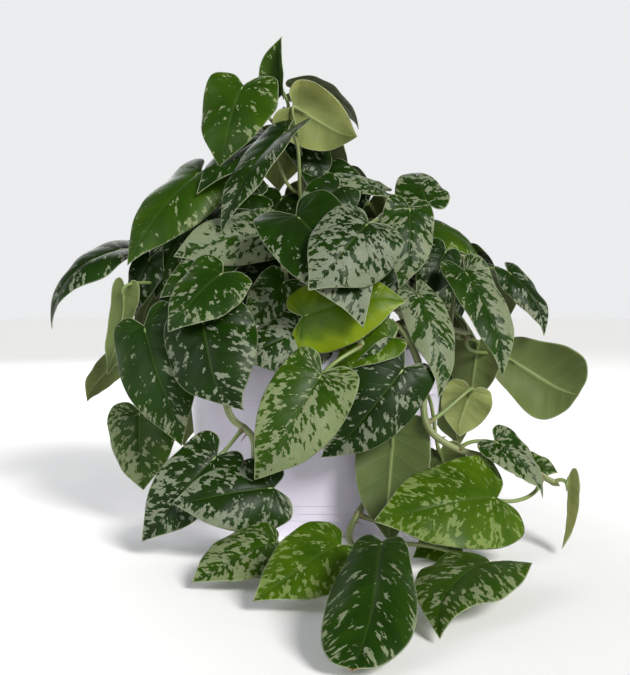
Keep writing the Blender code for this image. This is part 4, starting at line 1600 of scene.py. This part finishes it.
FILLERS = (
    filler("far_1", "left_far", 0.86, (-129, -16, 204), (-140, -24, 158), 30, (-0.4, -0.8, 0.3), DARK),
    filler("far_2", "left_far", 0.72, (-145, -36, 178), (-160, -44, 114), 26, (0.4, 0.9, 0.1), DEEP),
    filler("far_3", "left_rim", 0.8, (-158, -12, 121), (-182, -16, 92), 24, (-0.3, 0.8, 0.3), MID),
    filler("rim_1", "left_rim", 0.25, (-68, -72, 200), (-111, -84, 173), 34, (-0.2, -0.8, 0.5), DEEP),
    filler("rim_2", "front", 0.35, (-2, -104, 152), (-54, -120, 130), 50, (-0.05, -0.9, 0.5), DARK, 0.02),
    filler("rim_3", "front", 0.6, (-21, -88, 186), (-47, -100, 151), 34, (0.0, -0.9, 0.3), DEEP, -0.02),
    filler("left_1", "left_high", 0.62, (-41, -20, 252), (-85, -30, 244), 34, (-0.1, -0.8, 0.6), DARK),
    filler("right_1", "right_high", 0.5, (100, -40, 209), (78, -58, 172), 32, (0.2, -0.9, 0.3), DARK, -0.1),
    filler("right_2", "right_low", 0.9, (124, -44, 140), (117, -50, 93), 40, (0.2, 0.9, 0.1), DEEP),
    filler("right_3", "trail_right", 0.26, (54, -118, 147), (12, -116, 124), 32, (0.1, -0.7, 0.7), FRESH),
    filler("trail_1", "trail_right", 0.8, (149, -84, 52), (176, -88, 49), 22, (0.1, -0.8, 0.5), MID),
    filler("trail_2", "trail_right", 0.5, (89, -96, 64), (99, -104, 31), 34, (0.1, 0.9, 0.1), DEEP),
    filler("trail_3", "trail_front", 0.62, (91, -140, 11), (66, -158, 3), 26, (0.0, -0.7, 0.7), FRESH),
    filler("inner_1", "left_high", 0.45, (-52, 8, 226), (-96, 2, 184), 48, (-0.2, -0.9, 0.4), DARK),
    filler("inner_2", "front", 0.5, (-30, -46, 206), (-58, -60, 160), 46, (-0.2, -0.9, 0.3), DARK),
    filler("inner_3", "crown", 0.45, (-26, 4, 252), (-46, -16, 206), 44, (-0.2, -0.9, 0.4), DARK, -0.1),
    filler("inner_4", "middle", 0.45, (16, -30, 214), (8, -50, 166), 46, (0.0, -0.9, 0.3), DARK),
    filler("inner_5", "right_high", 0.35, (58, -30, 214), (66, -52, 168), 44, (0.1, -0.9, 0.3), DARK),
    filler("inner_6", "crown", 0.5, (4, 0, 272), (38, -14, 232), 44, (0.2, -0.8, 0.5), DARK, -0.12),
    filler("inner_7", "right_high", 0.5, (92, 10, 206), (122, 6, 158), 48, (0.4, -0.8, 0.4), DARK),
    filler("inner_8", "left_far", 0.5, (-90, -14, 196), (-118, -30, 150), 46, (-0.3, -0.9, 0.3), DARK),
    filler("inner_9", "crown", 0.72, (-12, 8, 300), (8, -6, 262), 38, (0.2, -0.8, 0.5), DARK, -0.1),
    filler("back_1", "back_left", 0.25, (-30, 74, 200), (-48, 112, 166), 52, (-0.1, 0.9, 0.6), MID, 0.0),
    filler("back_2", "back_right", 0.22, (20, 78, 196), (26, 118, 158), 52, (0.1, 0.9, 0.6), DEEP),
    filler("back_3", "left_far", 0.6, (-104, 30, 210), (-138, 66, 168), 52, (-0.7, 0.6, 0.6), DARK),
    filler("back_4", "right_high", 0.7, (118, 22, 212), (150, 58, 170), 54, (0.7, 0.6, 0.6), DEEP, 0.03),
    filler("back_5", "left_high", 0.7, (-60, 24, 262), (-84, 62, 214), 54, (-0.4, 0.8, 0.6), MID),
    filler("back_6", "middle", 0.6, (44, 18, 250), (62, 56, 198), 54, (0.4, 0.8, 0.5), DARK),
    filler("back_7", "crown", 0.8, (-24, 20, 306), (-34, 54, 262), 48, (-0.2, 0.9, 0.5), FRESH),
    filler("back_8", "back_left", 0.97, (-74, 130, 60), (-58, 142, 14), 46, (0.2, 1, 0.3), FRESH),
    filler("back_9", "back_right", 0.97, (92, 132, 58), (72, 142, 14), 46, (-0.1, 1, 0.3), MID),
    filler("back_10", "back_left", 0.55, (-56, 128, 134), (-36, 140, 84), 48, (0.2, 1, 0.3), DEEP, 0.02),
    filler("back_11", "back_right", 0.55, (66, 126, 140), (48, 138, 88), 48, (-0.2, 1, 0.3), DARK),
    filler("side_1", "left_far", 0.35, (-100, 46, 172), (-126, 72, 124), 50, (-0.9, 0.5, 0.4), DEEP),
    filler("side_2", "right_high", 0.3, (98, 42, 170), (124, 74, 122), 50, (0.9, 0.5, 0.4), MID),
    filler("back_12", "crown", 0.5, (-6, 26, 250), (-22, 70, 204), 54, (-0.1, 0.9, 0.6), MID),
    filler("back_13", "crown", 0.62, (18, 22, 276), (34, 62, 238), 50, (0.3, 0.8, 0.6), DEEP, 0.02),
    filler("back_14", "left_high", 0.55, (-44, 34, 240), (-70, 78, 196), 54, (-0.4, 0.8, 0.6), DARK),
    filler("back_15", "middle", 0.5, (34, 34, 232), (40, 84, 190), 54, (0.1, 0.9, 0.6), FRESH),
    filler("back_16", "back_left", 0.45, (-84, 84, 196), (-116, 104, 146), 52, (-0.7, 0.7, 0.4), DEEP, 0.0),
    filler("back_17", "back_right", 0.45, (88, 82, 198), (118, 100, 150), 52, (0.7, 0.7, 0.4), MID),
    filler("back_18", "back_left", 0.85, (-112, 112, 84), (-124, 118, 34), 48, (-0.6, 0.8, 0.3), MID, 0.02),
    filler("back_19", "back_right", 0.85, (116, 108, 84), (130, 112, 34), 48, (0.6, 0.8, 0.3), DARK),
    filler("back_20", "back_left", 0.18, (-14, 92, 178), (-8, 122, 128), 54, (0, 1, 0.4), DARK, 0.0),
    filler("back_21", "crown", 0.75, (2, 26, 300), (16, 56, 262), 46, (0.3, 0.9, 0.4), MID),
    filler("side_3", "left_far", 0.55, (-122, 22, 186), (-148, 42, 142), 48, (-0.8, 0.5, 0.5), MID),
    filler("side_4", "right_high", 0.85, (134, 14, 196), (160, 40, 152), 48, (0.8, 0.4, 0.5), DEEP, 0.0),
    filler("side_5", "left_rim", 0.45, (-118, -24, 150), (-140, -10, 104), 44, (-0.9, 0.4, 0.3), DARK),
    filler("side_6", "right_low", 0.65, (108, -14, 162), (130, 8, 116), 44, (0.9, 0.4, 0.3), MID),
)


@dataclass
class Plant:
    """All stems, leaves and aerial roots."""

    soil: SoilBed
    stems: "tuple[Stem, ...]" = STEMS
    leaves: "tuple[Leaf, ...]" = LEAVES + FILLERS

    def ground(self, stem: Stem) -> float:
        """Height of the bare bed where a stem leaves it."""
        x, y = (value * MM for value in stem.root)
        return self.soil.rim_height + self.soil.dome * (1 - (x * x + y * y) / self.soil.rim_radius**2)

    def build(self) -> "list[bpy.types.Object]":
        """Builds every stem, then every leaf, then the roots.

        Returns:
            All the pieces.
        """
        finish = StemFinish()
        bark = finish.stem()
        pieces = []
        for stem in self.stems:
            shares = [leaf.along for leaf in self.leaves if leaf.stem == stem.name]
            pieces.append(stem.build(self.ground(stem), shares, bark))
        maker = LeafMaker()
        named = {stem.name: stem for stem in self.stems}
        for i, leaf in enumerate(self.leaves):
            stem = named[leaf.stem]
            pieces.append(maker.build(leaf, stem, self.ground(stem), 1.0 + 0.618 * i))
        pieces.append(self.roots(finish.root()))
        return pieces

    def roots(self, material: bpy.types.Material) -> bpy.types.Object:
        """Short dry roots at the nodes: each is a thin cone bent away from its stem.

        Args:
            material: what the roots are made of.

        Returns:
            The roots, as one piece.
        """
        random = np.random.default_rng(11)
        skin = Skin()
        for stem in self.stems:
            ground = self.ground(stem)
            for share in np.arange(0.2, 0.97, 0.11):
                point, tangent = stem.at(ground, float(share))
                if point[2] < 8 * MM:
                    continue
                sideways = unit(np.cross(tangent, random.normal(size=3)))
                reach = random.uniform(3, 8) * MM
                t = np.linspace(0, 1, 9)[:, None]
                drop = np.array([0, 0, -0.35]) * reach * t**2
                line = point + sideways * (0.6 * stem.radius + reach * t) + drop
                skin.add(tube_rings(line, 0.75 * MM * (1 - 0.8 * t[:, 0]), 7))
        return skin.build("aerial_roots", [material], Slot.STEM)


# ---------------------------------------------------------------- studio


@dataclass
class Studio:
    """The pale floor, the soft lights and the camera."""

    camera_place: tuple = (0.0, -0.85, 0.19)
    camera_drop: float = 0.05
    lens: float = 36 * 1062 / 675
    target: tuple = (0.0, -0.02, 0.18)
    air_strength: float = 0.16
    band_strength: float = 0.86

    def floor(self) -> None:
        """A wide pale disc with a faint grain."""
        rings = turned_rings(np.array(((0.0, -0.01), (4.0, -0.01), (4.0, 0.0), (0.0, 0.0))), 96)
        points = np.vstack([rings[2], rings[3][:1]])
        mesh = bpy.data.meshes.new("studio_floor")
        count = rings.shape[1]
        faces = [(i, (i + 1) % count, count) for i in range(count)]
        mesh.from_pydata(points.tolist(), [], faces)
        graph = Graph("studio_floor", 0.8)
        grain = graph.noise(graph.place(), 40.0, 3.0)
        graph.colour(graph.mix(grain, (0.94, 0.94, 0.94), (0.97, 0.97, 0.97)))
        mesh.materials.append(graph.material)
        floor = bpy.data.objects.new("studio_floor", mesh)
        bpy.context.scene.collection.objects.link(floor)

    def lamp(self, name: str, kind: str, place: tuple, shade: tuple, **settings: float) -> None:
        """A soft lamp that looks at the plant.

        Args:
            name: its name.
            kind: AREA, a square panel, or SUN, which is even over the whole floor.
            place: where it stands.
            shade: its colour.
            settings: its energy, and its size or angle.
        """
        data = bpy.data.lights.new(name, kind)
        data.color = shade
        for key, value in settings.items():
            setattr(data, key, value)
        lamp = bpy.data.objects.new(name, data)
        lamp.location = place
        look = Vector(self.target) - Vector(place)
        lamp.rotation_euler = look.to_track_quat("-Z", "Y").to_euler()
        bpy.context.scene.collection.objects.link(lamp)

    def camera(self) -> None:
        """A level look, dropped a little."""
        data = bpy.data.cameras.new("camera")
        data.lens = self.lens
        data.sensor_width = 36.0
        data.clip_start = 0.01
        camera = bpy.data.objects.new("camera", data)
        camera.location = self.camera_place
        pitch = math.atan2(self.camera_drop, -self.camera_place[1])
        camera.rotation_euler = (math.pi / 2 - pitch, 0.0, 0.0)
        bpy.context.scene.collection.objects.link(camera)
        bpy.context.scene.camera = camera

    def build(self) -> None:
        """Sets the floor, the lights, the air's own glow and the camera."""
        bpy.context.scene.view_settings.view_transform = "Standard"
        self.floor()
        self.lamp("key_light", "SUN", (0.70, -0.95, 0.95), (1.0, 0.985, 0.96), angle=0.36, energy=3.5)
        self.lamp("fill_light", "AREA", (-0.95, -0.85, 0.75), (0.95, 0.97, 1.0), size=0.8, energy=5.0)
        self.lamp("back_light", "AREA", (-0.3, 1.1, 0.9), (1.0, 1.0, 1.0), size=0.9, energy=9.0)
        self.air()
        self.camera()

    def air(self) -> None:
        """A dim even glow, with a bright band all round at the horizon that fades upwards."""
        world = bpy.data.worlds.new("studio_air")
        world.use_nodes = True
        tree = world.node_tree
        way = tree.nodes.new("ShaderNodeTexCoord")
        parts = tree.nodes.new("ShaderNodeSeparateXYZ")
        tree.links.new(way.outputs["Generated"], parts.inputs[0])
        fade = tree.nodes.new("ShaderNodeMapRange")
        fade.interpolation_type = "SMOOTHSTEP"
        fade.inputs["From Min"].default_value = 0.25
        fade.inputs["From Max"].default_value = 0.55
        fade.inputs["To Min"].default_value = self.band_strength
        fade.inputs["To Max"].default_value = self.air_strength
        tree.links.new(parts.outputs["Z"], fade.inputs["Value"])
        background = tree.nodes["Background"]
        background.inputs["Color"].default_value = (0.97, 0.98, 1.0, 1.0)
        tree.links.new(fade.outputs[0], background.inputs["Strength"])
        bpy.context.scene.world = world


def main() -> None:
    """Builds the studio, the pots, the soil and the plant."""
    logging.basicConfig(level=logging.INFO, format="%(message)s")
    Studio().build()
    brim, lip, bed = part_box("outer_pot")[1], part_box("grow_pot"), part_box("soil")
    OuterPot(height=brim.z, brim_radius=brim.x).build()
    GrowPot(low=lip[0].z, high=lip[1].z, lip_radius=lip[1].x).build()
    soil = SoilBed(low=bed[0].z, rim_height=bed[1].z - SoilBed.dome, rim_radius=97.6 * MM)
    soil.build()
    Plant(soil).build()


if __name__ == "__main__":
    main()
